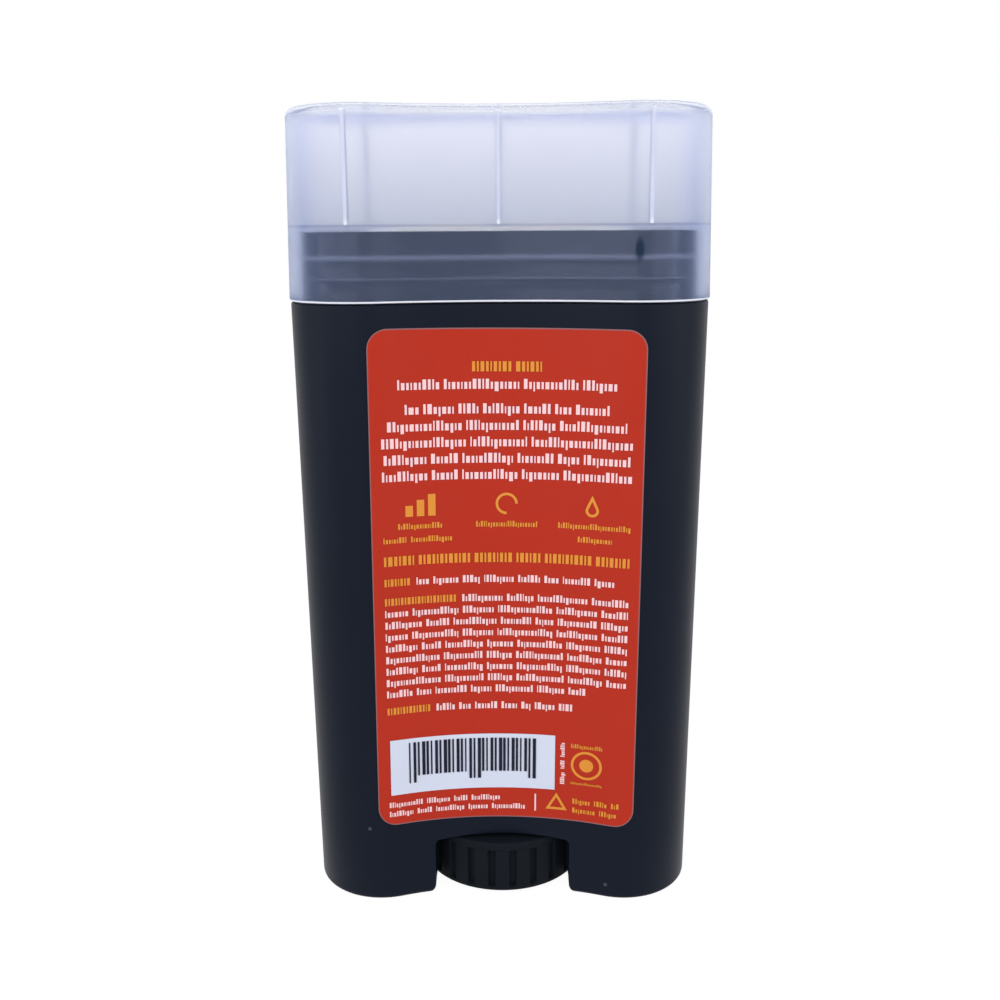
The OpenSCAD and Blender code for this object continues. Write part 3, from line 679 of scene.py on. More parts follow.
def frosted_cap():
    material = plastic(
        "frosted cap", (1, 1, 1), 0.38, mottling=0.03, gloss_spread=0.06, grain=0.0005, grain_height=0.00001,
        transmission_weight=0.98, sheen_weight=0.2, sheen_roughness=0.75, sheen_tint=(0.24, 0.43, 1, 1),
    )
    shader_of(material).inputs["IOR"].default_value = 1.08
    # Painted light and shade in the cap's tint: Crown and High paint it lighter up top, Low and Band paint
    # shade towards the neck, Line paints a shadow line at the step; Smudge is a real mark
    return coloured_by(material, HAZE_AND_SHADE, {
        "Crown": (1, 1, 1, 1), "High": (0.935, 0.935, 0.98, 1), "Low": (0.74, 0.755, 0.81, 1),
        "Band": (0.7, 0.73, 0.82, 1), "Line": (0.5, 0.52, 0.62, 1),
        "Ceiling": CEILING_Z, "Step": RIM_Z + RIB_GAP, "Line Width": 0.0003,
        "Wall Roughness": 0.42, "Crown Roughness": 0.22, "Smudge": (0.2, 0.26, 0.3, 1),
        "Smudge Place": (0.0202, -0.0143, 0.1043), "Smudge Size": (0.0009, 0.006, 0.0023),
    })


def ribs_painted_light():
    # Painted light: the opaque ribs are painted dim up high (High), lighter low down (Low), and with a
    # painted bright dot (Band, Line) where they end over the neck's rim
    return coloured_by(plastic("ribs with painted light", (1, 1, 1), 0.5, mottling=0.03), HAZE_AND_SHADE, {
        "Crown": (0.8, 0.83, 0.95, 1), "High": (0.54, 0.56, 0.66, 1), "Low": (0.7, 0.73, 0.84, 1),
        "Band": (1, 1, 1, 1), "Line": (1, 1, 1, 1), "Ceiling": CEILING_Z, "Step": RIM_Z + RIB_GAP,
        "Line Width": 0.0011, "Wall Roughness": 0.5, "Crown Roughness": 0.5,
        "Smudge Place": (0, 0, 0), "Smudge Size": (0.001, 0.001, 0.001),
    })


def neck_and_barrel():
    # Painted highlights: the paler colour on the neck's beads stands in for their sheen seen through the cap
    return coloured_by(plastic("barrel black", (0, 0, 0), 0.4, specular=0.09), BANDS, {
        "Color": (0.0042, 0.0074, 0.0162, 1), "Highlight And Speck": (0.16, 0.17, 0.2, 1),
        "Upper": SHOULDER_Z + BEADS[0][0], "Lower": SHOULDER_Z + BEADS[1][0], "Width": 0.0007,
        "Shoulder": SHOULDER_Z, "Neck Gloss": 1.0, "Speck 1": (-0.0214, -0.0146, 0.0129),
        "Speck 2": (0.0169, -0.0146, 0.0025), "Speck Size": (0.0004, 0.006, 0.0004),
    })


def ink(name, colour, roughness, mottling, specular=0.2):
    return plastic(name, colour, roughness, mottling=mottling, grain=0.0002, specular=specular)


def make_looks():
    """Every material, under the name that dress looks it up by."""
    return {
        "barrel": neck_and_barrel(),
        "cap": frosted_cap(),
        "lip": plastic("lip painted bright", (0.78, 0.8, 0.86), 0.5, mottling=0.05),
        "ribs": ribs_painted_light(),
        "dial": plastic("wheel black", (0.0082, 0.0106, 0.0148), 0.5, specular=0.035),
        "spindle": plastic("screw grey", (0.55, 0.57, 0.6), 0.4),
        "elevator": plastic("platform black", (0.012, 0.013, 0.018), 0.42, specular=0.3),
        "product": plastic(
            "solid stick", (0.83, 0.8, 0.7), 0.5, mottling=0.12, grain=0.0015, grain_height=0.00004,
            subsurface_weight=0.25, subsurface_scale=0.003,
        ),
        "back_label": label_film("back label film", BACK_OFF, BACK_TURN),
        "front_label": label_film("front label film", 0, 0),
        "white": ink("white ink", (0.86, 0.585, 0.61), 0.5, 0.08),
        "amber": ink("amber ink", (0.69, 0.262, 0.034), 0.45, 0.12),
        "pale": ink("pale ink", (0.61, 0.66, 0.79), 0.45, 0.05),
        "navy": ink("navy ink", (0.012, 0.012, 0.03), 0.45, 0.1, 0.1),
    }


LOOKS = make_looks()


# Barrel


def bead(up, out, steps=8):
    """Profile of one soft bead round the neck, from its top down."""
    points = []
    for i in range(steps + 1):
        s = 1 - 2 * i / steps
        z = SHOULDER_Z + up + s * BEAD_H / 2
        points.append((neck(z) - out * (1 + cos(pi * s)) / 2, z))
    return points


def barrel_rings():
    """Up the bore from the floor, over the rim, down the neck and the outside, and under the foot."""
    fillet, soft = 0.0005, 0.0003
    outer, inner = neck(RIM_Z) + RIM_EDGE, BORE - RIM_EDGE
    inside = edge(BORE + fillet, FLOOR_TOP + fillet, fillet, 270, 180)
    inside += edge(inner, RIM_Z - RIM_EDGE, RIM_EDGE, 0, 90)
    inside += edge(outer, RIM_Z - RIM_EDGE, RIM_EDGE, 90, 180)
    for up, out in BEADS:
        inside += bead(up, out)
    inside += edge(neck(SHOULDER_Z) - soft, SHOULDER_Z + soft, soft, 0, -90, 4)
    outside = edge(SHOULDER_R, SHOULDER_Z - SHOULDER_R, SHOULDER_R, 90, 180)
    spans = 8
    top, low = SHOULDER_Z - SHOULDER_R, WINDOW_H + 2 * WINDOW_R
    outside += [(0, top + (low - top) * i / spans) for i in range(1, spans + 1)]
    outside += edge(FOOT_R, FOOT_R, FOOT_R, 180, 270)
    under = edge(SKIRT_WALL - soft, soft, soft, 270, 360)
    under += edge(SKIRT_WALL + soft, FLOOR_Z - soft, soft, 180, 90)
    return (
        [ring(SHOULDER_HALF, inset, z) for inset, z in inside]
        + [ring(half_width(z), inset, z) for inset, z in outside]
        + [ring(FOOT_HALF, inset, z) for inset, z in under]
    )


def window_outline():
    """The arched thumb window in X and Z, with flared lower corners."""
    half, r, flare, arch, low = WINDOW_HALF, WINDOW_R, WINDOW_FLARE_R, 12, -0.002
    top = half - r
    right = arc(half + flare, flare, flare, radians(270), radians(180), 10)
    right += arc(top, WINDOW_H - r, r, 0, radians(62), 6)
    crown = []
    for i in range(1, arch):
        u = 1 - 2 * i / arch
        crown.append((u * top, WINDOW_H + WINDOW_RISE * (1 - u * u)))
    left = [(-x, z) for x, z in reversed(right)]
    return [(-half - flare, low), (half + flare, low)] + right + crown + left


def window_edges(piece):
    """Selects the sharp edges that the window cut into the skirt."""
    mesh = bmesh.from_edit_mesh(piece.data)
    for e in mesh.edges:
        near = all(
            abs(v.co.x) < WINDOW_HALF + 1.5 * WINDOW_FLARE_R
            and v.co.z < WINDOW_H + 2 * WINDOW_R
            and abs(v.co.y) > depth_at(half_width(v.co.z), SKIRT_WALL, v.co.x) - TOUCH
            for v in e.verts
        )
        sharp = len(e.link_faces) == 2 and e.calc_face_angle() > radians(CUT_OVER)
        e.select_set(near and sharp)
    bmesh.update_edit_mesh(piece.data)


def make_barrel():
    piece = loft("barrel_shell", barrel_rings())
    half_floor = FLOOR_Z + FLOOR_T / 2
    pocket = cylinder("pocket", POCKET_R + POCKET_WALL, POCKET_LOW, half_floor, POCKET_SIDES)
    combine(pocket, cylinder("pocket_bore", POCKET_R, 0, FLOOR_TOP, POCKET_SIDES), "DIFFERENCE")
    inside = [ring(FOOT_HALF, SKIRT_WALL - SINK, z) for z in (FLOOR_TOP, 0)]
    combine(pocket, loft("skirt_inside", inside), "INTERSECT")
    combine(piece, pocket, "UNION")
    combine(piece, cylinder("boss", BOSS_R, half_floor, FLOOR_TOP + BOSS_H), "UNION")
    window = [[(x, y, z) for x, z in window_outline()] for y in (-RIDGE_D, RIDGE_D)]
    combine(piece, loft("window", window), "DIFFERENCE")
    bore = cylinder("bore", JOURNAL_R + CAST_GAP, FLOOR_Z - PAST, FLOOR_TOP + 2 * BOSS_H)
    combine(piece, bore, "DIFFERENCE")
    open_mesh(piece)
    bpy.ops.mesh.remove_doubles(threshold=TOUCH)
    bpy.ops.mesh.select_all(action="DESELECT")
    window_edges(piece)
    bpy.ops.mesh.bevel(offset=WINDOW_EDGE, segments=3, profile=0.5, clamp_overlap=True)
    close_mesh()
    dress(piece, "barrel")


# Cap


def cap_rings():
    """From the middle of the crown outwards, down the outside, round the mouth and up to the ceiling."""
    rings = []
    top_inset = cap_out(CROWN_Z) + CAP_R
    for share in CROWN_SHARES:
        z = CROWN_Z - CAP_CROWN * share * share
        rings.append([(share * x, share * y, z) for x, y in outline(SHOULDER_HALF, top_inset)])
    turns = 10
    for i in range(turns + 1):
        t = radians(90) * i / turns
        z = CROWN_Z - CAP_CROWN - CAP_R * (1 - cos(t))
        rings.append(ring(SHOULDER_HALF, cap_out(z) + CAP_R * (1 - sin(t)), z))
    top, spans = CROWN_Z - CAP_CROWN - CAP_R, 8
    low = CAP_Z + MOUTH_EDGE
    profile = []
    for i in range(1, spans):
        z = top + (low - top) * i / spans
        profile.append((cap_out(z), z))
    profile += edge(cap_out(CAP_Z) + MOUTH_EDGE, low, MOUTH_EDGE, 180, 270)
    profile += edge(cap_in(CAP_Z) - MOUTH_EDGE, low, MOUTH_EDGE, 270, 360)
    fillet = 0.0008
    for i in range(1, spans):
        z = low + (CEILING_Z - fillet - low) * i / spans
        profile.append((cap_in(z), z))
    profile += edge(cap_in(CEILING_Z) + fillet, CEILING_Z - fillet, fillet, 180, 90)
    return rings + [ring(SHOULDER_HALF, inset, z) for inset, z in profile]


def make_ribs():
    """Stiffening ribs inside the cap, three on each face, that end just over the neck's rim."""
    low, ribs = RIM_Z + RIB_GAP, []
    for x in (-RIB_X, 0, RIB_X):
        for side in (-1, 1):
            reach = depth_at(SHOULDER_HALF, cap_in(low), x) - RIB_OUT
            root = depth_at(SHOULDER_HALF, cap_in(CEILING_Z), x) + CAP_WALL / 4
            near, far = sorted((side * reach, side * root))
            corner = (x + RIB_T / 2, far, CEILING_Z + CAP_TOP / 3)
            ribs.append(block("cap_rib", (x - RIB_T / 2, near, low), corner, RIB_EDGE))
    dress(joined(ribs, "cap_ribs"), "cap", "ribs")


def make_lip():
    """Outer edge of the cap's mouth, painted pale as the glow where the wall sends out the light that runs
    down in it.
    """
    low, high = CAP_Z, CAP_Z + LIP_H
    profile = [(cap_out(high), high)]
    profile += edge(cap_out(low) + MOUTH_EDGE, low + MOUTH_EDGE, MOUTH_EDGE, 180, 270)
    piece = loft("cap_lip", [ring(SHOULDER_HALF, inset - LIP_PROUD, z) for inset, z in profile])
    hole = [ring(SHOULDER_HALF, cap_out(low) + LIP_DEEP, z) for z in (low - LIP_H, high + LIP_H)]
    combine(piece, loft("lip_hole", hole), "DIFFERENCE")
    dress(piece, "cap", "lip")


def make_cap():
    dress(loft("cap_shell", cap_rings()), "cap")
    make_ribs()
    make_lip()


# Thumb wheel


def flute_ring(r, z, depth):
    """One turn of the wheel's rim: flat lands, and grooves as deep as asked."""
    pitch = 2 * pi / FLUTES
    turns = [((i + share) * pitch, r - depth * down) for i in range(FLUTES) for share, down in FLUTE_SHAPE]
    return [(reach * cos(t), reach * sin(t), z) for t, reach in turns]


def make_dial():
    outer = DIAL_HIGH.x - FLUTE_LIP
    hollow = outer - GROOVE_D - DIAL_WALL
    low, soft = DIAL_LOW.z, 0.00025
    groove_top = low + DIAL_RIM_H
    profile = [(hollow, DIAL_PLATE_LOW, 0), (hollow, low + soft, 0), (hollow + soft, low, 0)]
    profile += [(outer - inset, z, 0) for inset, z in edge(soft, low + soft, soft, 270, 180, 3)]
    profile += [(outer, groove_top, 0), (outer, groove_top + soft, GROOVE_D)]
    profile.append((outer, DIAL_PLATE_LOW, GROOVE_D))
    plate = edge(soft, DIAL_PLATE_LOW + soft, soft, 270, 180, 3)
    plate += edge(2 * soft, DIAL_PLATE_TOP - 2 * soft, 2 * soft, 180, 90)
    profile += [(DIAL_HIGH.x - inset, z, 0) for inset, z in plate]
    piece = loft("thumb_wheel", [flute_ring(*turn) for turn in profile])
    spoke_low = low + SPOKE_UP
    combine(piece, cylinder("hub", HUB_R, spoke_low, HUB_TOP), "UNION")
    for i in range(SPOKES):
        corner = (hollow + SINK, SPOKE_T / 2, DIAL_PLATE_LOW + SINK)
        spoke = block("spoke", (HUB_R - SINK, -SPOKE_T / 2, spoke_low), corner)
        spoke.data.transform(Matrix.Rotation((i + 0.5) * 2 * pi / SPOKES, 4, "Z"))
        combine(piece, spoke, "UNION")
    combine(piece, cylinder("socket", SOCKET_R, SOCKET_LOW, HUB_TOP + PAST, 6), "DIFFERENCE")
    dress(piece, "dial")


# Spindle


def make_thread():
    """A coarse left-hand thread: a small trapezium run up the screw by a Screw modifier."""
    low, high = FLANGE_TOP + PAST, SPINDLE_HIGH.z - TIP_H
    turns = int((high - low) / THREAD_LEAD)
    deselect()
    bpy.ops.mesh.primitive_plane_add(size=1)
    thread = named("thread")
    root = ROOT_R - THREAD_SINK
    corners = (
        (root, -THREAD_ROOT), (SCREW_R, -THREAD_CREST), (SCREW_R, THREAD_CREST), (root, THREAD_ROOT),
    )
    open_mesh(thread)
    bpy.ops.mesh.delete(type="ONLY_FACE")
    mesh = bmesh.from_edit_mesh(thread.data)
    start = mesh.verts[:][0]
    walk, here, before = [start], start, None
    while len(walk) < len(corners):
        step = next(e.other_vert(here) for e in here.link_edges if e.other_vert(here) is not before)
        before, here = here, step
        walk.append(here)
    for vert, (x, z) in zip(walk, corners):
        vert.co = (x, 0, high - THREAD_ROOT + z)
    bmesh.update_edit_mesh(thread.data)
    close_mesh()
    apply(
        thread, "SCREW", axis="Z", angle=2 * pi, screw_offset=-THREAD_LEAD, iterations=turns,
        steps=36, render_steps=36, use_merge_vertices=False, use_smooth_shade=False,
    )
    open_mesh(thread)
    bpy.ops.mesh.fill_holes(sides=4)
    bpy.ops.mesh.normals_make_consistent(inside=False)
    close_mesh()
    return thread


def make_spindle():
    soft = 0.00025
    profile = [(JOURNAL_R - soft, HUB_TOP), (JOURNAL_R, HUB_TOP + soft), (JOURNAL_R, FLANGE_LOW)]
    profile += [(FLANGE_R - soft, FLANGE_LOW), (FLANGE_R, FLANGE_LOW + soft), (FLANGE_R, FLANGE_TOP - soft)]
    profile += [(FLANGE_R - soft, FLANGE_TOP), (ROOT_R + soft, FLANGE_TOP), (ROOT_R, FLANGE_TOP + soft)]
    profile += [(ROOT_R, SPINDLE_HIGH.z - TIP_H), (ROOT_R - TIP_H / 2, SPINDLE_HIGH.z)]
    piece = loft("screw_spindle", [[(x, y, z) for x, y in circle(0, 0, r, 64)] for r, z in profile])
    combine(piece, cylinder("plug", SOCKET_R - CAST_GAP, SPINDLE_LOW.z, HUB_TOP + SINK, 6), "UNION")
    combine(piece, make_thread(), "UNION")
    dress(piece, "spindle")


# Platform and solid stick


def fin(side, gap):
    """One of the platform's two fins, or the slot that it leaves in the stick with a gap round it."""
    x, half, thick = side * FIN_X, FIN_L / 2 + gap, FIN_T / 2 + gap
    return block(
        "fin", (x - half, -thick, PLATFORM_Z - SINK), (x + half, thick, PLATFORM_Z + FIN_H + gap)
    )


def make_elevator():
    inset, low, soft = BORE + PLATFORM_GAP, ELEVATOR_LOW.z, 0.0002
    inside = inset + PLATFORM_WALL
    profile = [(inside, PLATFORM_LOW), (inside, low + soft), (inside - soft, low), (inset + soft, low)]
    profile += [(inset, low + soft)] + edge(inset + 2 * soft, PLATFORM_Z - 2 * soft, 2 * soft, 180, 90, 3)
    piece = loft("platform", [ring(SHOULDER_HALF, i, z) for i, z in profile])
    combine(piece, cylinder("nut", NUT_R, low, PLATFORM_Z + NUT_UP), "UNION")
    for side in (-1, 1):
        combine(piece, fin(side, 0), "UNION")
        near, far = sorted((side * (NUT_R - SINK), side * (SHOULDER_HALF - inside + SINK)))
        rib_low = PLATFORM_LOW - PLATFORM_SKIRT / 2
        rib = block("rib", (near, -FIN_T / 2, rib_low), (far, FIN_T / 2, PLATFORM_LOW + SINK))
        combine(piece, rib, "UNION")
    combine(piece, cylinder("nut_bore", NUT_BORE, low - PAST, PLATFORM_Z + NUT_UP + PAST), "DIFFERENCE")
    dress(piece, "elevator")


def make_product():
    inset, low, top = BORE + STICK_GAP, PRODUCT_LOW.z, PLATFORM_Z + STICK_H
    rings = []
    for turn in DOME_TURNS:
        t = radians(turn)
        share = cos(t) ** DOME_POWER
        z = top - DOME_H * (1 - sin(t))
        rings.append([(share * x, share * y, z) for x, y in outline(SHOULDER_HALF, inset)])
    rings.append(ring(SHOULDER_HALF, inset, low + STICK_EDGE))
    rings.append(ring(SHOULDER_HALF, inset + STICK_EDGE, low))
    piece = loft("solid_stick", rings)
    combine(piece, cylinder("core", CORE_R, low - PAST, top + PAST), "DIFFERENCE")
    seat_top = PLATFORM_Z + NUT_UP + CAST_GAP
    combine(piece, cylinder("nut_seat", NUT_R + CAST_GAP, low - PAST, seat_top), "DIFFERENCE")
    for side in (-1, 1):
        combine(piece, fin(side, CAST_GAP), "DIFFERENCE")
    dress(piece, "product")


# Labels and print


def wrap(piece, side, lift, thickness):
    """Lays a flat piece, drawn in X and Z, onto the hollow face at this height off the barrel.

    Its faces are turned outwards, and it gets its thickness on its outer side. The back label was stuck on a
    little to the right of the middle and leans a little.
    """
    turn, off = (BACK_TURN, BACK_OFF) if side < 0 else (0, 0)
    for vert in piece.data.vertices:
        x, up = vert.co.x, vert.co.z - LABEL_MID
        vert.co.x = x * cos(turn) - up * sin(turn) + off
        vert.co.z = x * sin(turn) + up * cos(turn) + LABEL_MID
        vert.co.y = side * (depth_at(half_width(vert.co.z), 0, vert.co.x) + lift)
    open_mesh(piece)
    mesh = bmesh.from_edit_mesh(piece.data)
    for face in mesh.faces:
        if face.normal.y * side < 0:
            face.normal_flip()
    bmesh.update_edit_mesh(piece.data)
    close_mesh()
    apply(piece, "SOLIDIFY", thickness=thickness, offset=1)


def rect(x0, x1, z0, z1, name="bar"):
    """A flat rectangle in X and Z."""
    deselect()
    place = ((x0 + x1) / 2, 0, (z0 + z1) / 2)
    bpy.ops.mesh.primitive_plane_add(size=1, location=place, rotation=(pi / 2, 0, 0))
    return named(name, (x1 - x0, z1 - z0, 1))


def slice_upright(piece):
    """Cuts a flat piece into upright strips, so that it can follow the hollow face."""
    cuts = int(max(abs(v.co.x) for v in piece.data.vertices) / STRIP_W)
    open_mesh(piece)
    for i in range(-cuts, cuts + 1):
        bpy.ops.mesh.select_all(action="SELECT")
        bpy.ops.mesh.bisect(plane_co=(i * STRIP_W, 0, 0), plane_no=(1, 0, 0))
    close_mesh()


def make_label(node, side):
    """A film with rounded corners."""
    half_w, half_h = LABEL_W / 2, LABEL_H / 2
    piece = rect(-half_w, half_w, LABEL_MID - half_h, LABEL_MID + half_h, node + "_film")
    open_mesh(piece)
    bpy.ops.mesh.bevel(affect="VERTICES", offset=LABEL_R, segments=12, profile=0.5)
    close_mesh()
    slice_upright(piece)
    wrap(piece, side, LABEL_LIFT, LABEL_T)
    dress(piece, node)


# Print: rows of plain blocks in place of words, and simple marks, drawn in X and Z from the label's middle

LINE_HALF = LABEL_W / 2 - 0.0018
BIG, SMALL, TINY = 0.0015, 0.00115, 0.0009
WORD_GAP = 0.0007
HEADING_Z = LABEL_H / 2 - 0.0057
LEAD_Z = HEADING_Z - 0.0026
PARA_Z = LEAD_Z - 0.0037
PARA_PITCH = 0.00252
PARA_IN = (0.0035, 0.0009, 0, 0.0003, 0)
PARA_WORDS = (7, 4, 3, 6, 5)
ICON_Z = PARA_Z - 4 * PARA_PITCH - 0.00462
ICON_H = 0.0034
ICON_X = LINE_HALF - 0.0057
CAPTION_Z = ICON_Z - 0.0032
CAPTION_PITCH = 0.0021
CLAIM_Z = CAPTION_Z - CAPTION_PITCH - 0.0033
USE_Z = CLAIM_Z - 0.0034
LIST_Z = USE_Z - 0.0031
LIST_PITCH = 0.0019
LIST_LINES = 9
NOTE_Z = LIST_Z - (LIST_LINES - 1) * LIST_PITCH - 0.0029
USE_HEAD, LIST_HEAD, NOTE_HEAD, HEAD_GAP = 0.0038, 0.0108, 0.0066, 0.001
PANEL_W, PANEL_H = 0.0263, 0.0095
PANEL_X0 = 0.0003 - LINE_HALF
PANEL_X1 = PANEL_X0 + PANEL_W
PANEL_Z0 = 0.0053 - LABEL_H / 2
PANEL_Z1 = PANEL_Z0 + PANEL_H
STRIPES = 30
STRIPES_IN = 0.0029
STRIPE_H, LONG_STRIPE_H = 0.0058, 0.007
STRIPES_TOP = PANEL_Z1 - 0.0007
STRIPE_LIFT = PRINT_LIFT + PRINT_T + 0.00002
MARK_X, MARK_Z = PANEL_X1 + 0.005, PANEL_Z0 + PANEL_H / 2
MARK_R = 0.00245
MARK_LINE = 0.0004
MARK_CORE_R = 0.0011
ADDRESS_Z = PANEL_Z0 - 0.0017
ADDRESS_PITCH = 0.0016
RULE_X = PANEL_X1 - 0.0031
RULE_HALF_W, RULE_HALF_H = 0.000125, 0.0015
SIDE_ROW_X, SIDE_ROW_HALF, SIDE_ROW_H = PANEL_X1 + 0.0012, 0.0036, 0.0007
TRIANGLE_X, TRIANGLE_R = RULE_X + 0.0034, 0.002
SIDE_LINES_X = RULE_X + 0.006
FRAME_IN, FRAME_LINE, BAND_H = 0.0024, 0.0005, 0.012


def uneven(k):
    """Share of the golden section that gives words, blocks and stripes their uneven widths."""
    return k * 0.618034 % 1


def word_spans(x0, x1, words, start):
    """Left and right ends of the words in a row."""
    weights = [0.5 + uneven(k + start) for k in range(words)]
    room = (x1 - x0 - WORD_GAP * (words - 1)) / sum(weights)
    x, spans = x0, []
    for weight in weights:
        spans.append((x, x + room * weight))
        x += room * weight + WORD_GAP
    return spans


def blocks(x0, x1, h, words, start, capitals):
    """Left end, right end, foot and top, from the row's foot, of each small block in a row of words."""
    made = []
    for i, (left, right) in enumerate(word_spans(x0, x1, words, start)):
        count = max(1, round((right - left) / (0.42 * h)))
        widths = [0.12 + 0.26 * uneven(7 * i + k + start) for k in range(count)]
        gap = 0.17 * h
        unit = (right - left - gap * (count - 1)) / sum(widths)
        x = left
        for k, width in enumerate(widths):
            turn = uneven(3 * i + 5 * k + start)
            top = h if capitals or k == 0 or turn > 0.72 else 0.7 * h
            foot = -0.24 * h if not capitals and 0 < k and 0.1 < turn < 0.18 else 0
            made.append((x, x + unit * width, foot, top))
            x += unit * width + gap
    return made


def print_row(x0, x1, z, h, words, start, capitals=False):
    """A row of flat blocks: one grid whose every second column is taken out."""
    cells = blocks(x0, x1, h, words, start, capitals)
    columns = 2 * len(cells) - 1
    deselect()
    bpy.ops.mesh.primitive_grid_add(
        x_subdivisions=columns, y_subdivisions=1, size=1, rotation=(pi / 2, 0, 0)
    )
    piece = named("row")
    for vert in piece.data.vertices:
        column = round((vert.co.x + 0.5) * columns)
        left, right, foot, top = cells[column // 2]
        vert.co.x = right if column % 2 else left
        vert.co.z = z - h / 2 + (top if vert.co.z > 0 else foot)
    open_mesh(piece)
    mesh = bmesh.from_edit_mesh(piece.data)
    for face in mesh.faces:
        face.select_set(face.index % 2 == 1)
    bmesh.update_edit_mesh(piece.data)
    bpy.ops.mesh.delete(type="FACE")
    close_mesh()
    return piece


def flat_band(outer, inner=()):
    """A flat shape between an outer outline and a like one inside it, or filled where there is none."""
    deselect()
    kind = "NOTHING" if inner else "NGON"
    bpy.ops.mesh.primitive_circle_add(vertices=len(outer), radius=LABEL_W, fill_type=kind)
    piece = named("mark")
    open_numbered(piece)
    set_selected(piece, [(x, 0, z) for x, z in outer])
    if inner:
        bpy.ops.mesh.extrude_edges_move()
        set_selected(piece, [(x, 0, z) for x, z in inner])
    close_numbered(piece)
    return piece


def drop_outline(x, z, r, reach=2.4, steps=30):
    side = acos(1 / reach)
    turn = pi / 2 + side
    return arc(x, z, r, turn, turn + 2 * pi - 2 * side, steps) + [(x, z + reach * r)]


def triangle(x, z, r):
    turns = [radians(90 + 120 * i) for i in range(3)]
    return [(x + r * cos(t), z + r * sin(t)) for t in turns]


def rounded_outline(half_w, half_h, r, steps=10):
    corners = ((1, 1, 0), (-1, 1, 90), (-1, -1, 180), (1, -1, 270))
    points = []
    for sx, sz, turn in corners:
        start = radians(turn)
        points += arc(sx * (half_w - r), sz * (half_h - r), r, start, start + pi / 2, steps)
    return points


def lay(pieces, name, node, look, side=-1, lift=PRINT_LIFT):
    """Joins flat pieces, wraps them onto the label and gives the ink its thickness."""
    piece = joined(pieces, name)
    slice_upright(piece)
    for vert in piece.data.vertices:
        vert.co.x *= -side
        vert.co.z += LABEL_MID
    wrap(piece, side, lift, PRINT_T)
    dress(piece, node, look)


def white_rows():
    """Left end, right end, height on the label, height of the print, words and start of each row."""
    full = LINE_HALF
    rows = [(0.0025 - full, full - 0.0025, LEAD_Z, BIG, 4, 2)]
    for i, (inset, words) in enumerate(zip(PARA_IN, PARA_WORDS)):
        rows.append((inset - full, full - inset, PARA_Z - i * PARA_PITCH, BIG, words, 3 * i))
    rows.append((USE_HEAD + HEAD_GAP - full, full - 0.0022, USE_Z, SMALL, 8, 5))
    for i in range(LIST_LINES):
        left = LIST_HEAD + HEAD_GAP - full if i == 0 else -full
        right = full - 0.0062 if i == LIST_LINES - 1 else full
        rows.append((left, right, LIST_Z - i * LIST_PITCH, SMALL, 4 if i == 0 else 7 - i % 2, 4 * i + 1))
    rows.append((NOTE_HEAD + HEAD_GAP - full, full - 0.0082, NOTE_Z, SMALL, 7, 9))
    rows.append((-full, RULE_X - 0.0058, ADDRESS_Z, TINY, 4, 11))
    rows.append((-full, RULE_X - 0.0017, ADDRESS_Z - ADDRESS_PITCH, TINY, 5, 17))
    return rows


def amber_rows():
    """The same for the amber rows, with True where all the blocks of a row are tall."""
    full = LINE_HALF
    low = CAPTION_Z - CAPTION_PITCH
    return [
        (-0.0052, 0.0052, HEADING_Z, BIG, 2, 1, True),
        (-0.0035 - ICON_X, 0.0031 - ICON_X, CAPTION_Z, TINY, 1, 1),
        (-full, 0.0046 - ICON_X, low, TINY, 2, 2),
        (-0.0047, 0.0047, CAPTION_Z, TINY, 1, 1),
        (ICON_X - 0.0051, full, CAPTION_Z, TINY, 1, 1),
        (ICON_X - 0.0021, ICON_X + 0.003, low, TINY, 1, 1),
        (-full, full, CLAIM_Z, BIG, 6, 7, True),
        (-full, USE_HEAD - full, USE_Z, SMALL, 1, 1, True),
        (-full, LIST_HEAD - full, LIST_Z, SMALL, 1, 1, True),
        (-full, NOTE_HEAD - full, NOTE_Z, SMALL, 1, 1, True),
        (MARK_X - MARK_R, MARK_X + MARK_R, MARK_Z + MARK_R + 0.0008, 0.0007, 1, 1),
        (MARK_X - MARK_R, MARK_X + MARK_R, MARK_Z - MARK_R - 0.0008, 0.0004, 1, 1),
        (SIDE_LINES_X, full - 0.0006, ADDRESS_Z, TINY, 3, 3),
        (SIDE_LINES_X, full - 0.001, ADDRESS_Z - ADDRESS_PITCH, TINY, 2, 8),
    ]


def make_white_print():
    pieces = [print_row(*row) for row in white_rows()]
    middle = ADDRESS_Z - ADDRESS_PITCH / 2
    pieces.append(
        rect(RULE_X - RULE_HALF_W, RULE_X + RULE_HALF_W, middle - RULE_HALF_H, middle + RULE_HALF_H)
    )
    side_row = print_row(-SIDE_ROW_HALF, SIDE_ROW_HALF, 0, SIDE_ROW_H, 3, 6)
    side_row.data.transform(Matrix.Rotation(-pi / 2, 4, "Y"))
    side_row.data.transform(Matrix.Translation((SIDE_ROW_X, 0, MARK_Z)))
    pieces.append(side_row)
    lay(pieces, "white_print", "back_print_white", "white")


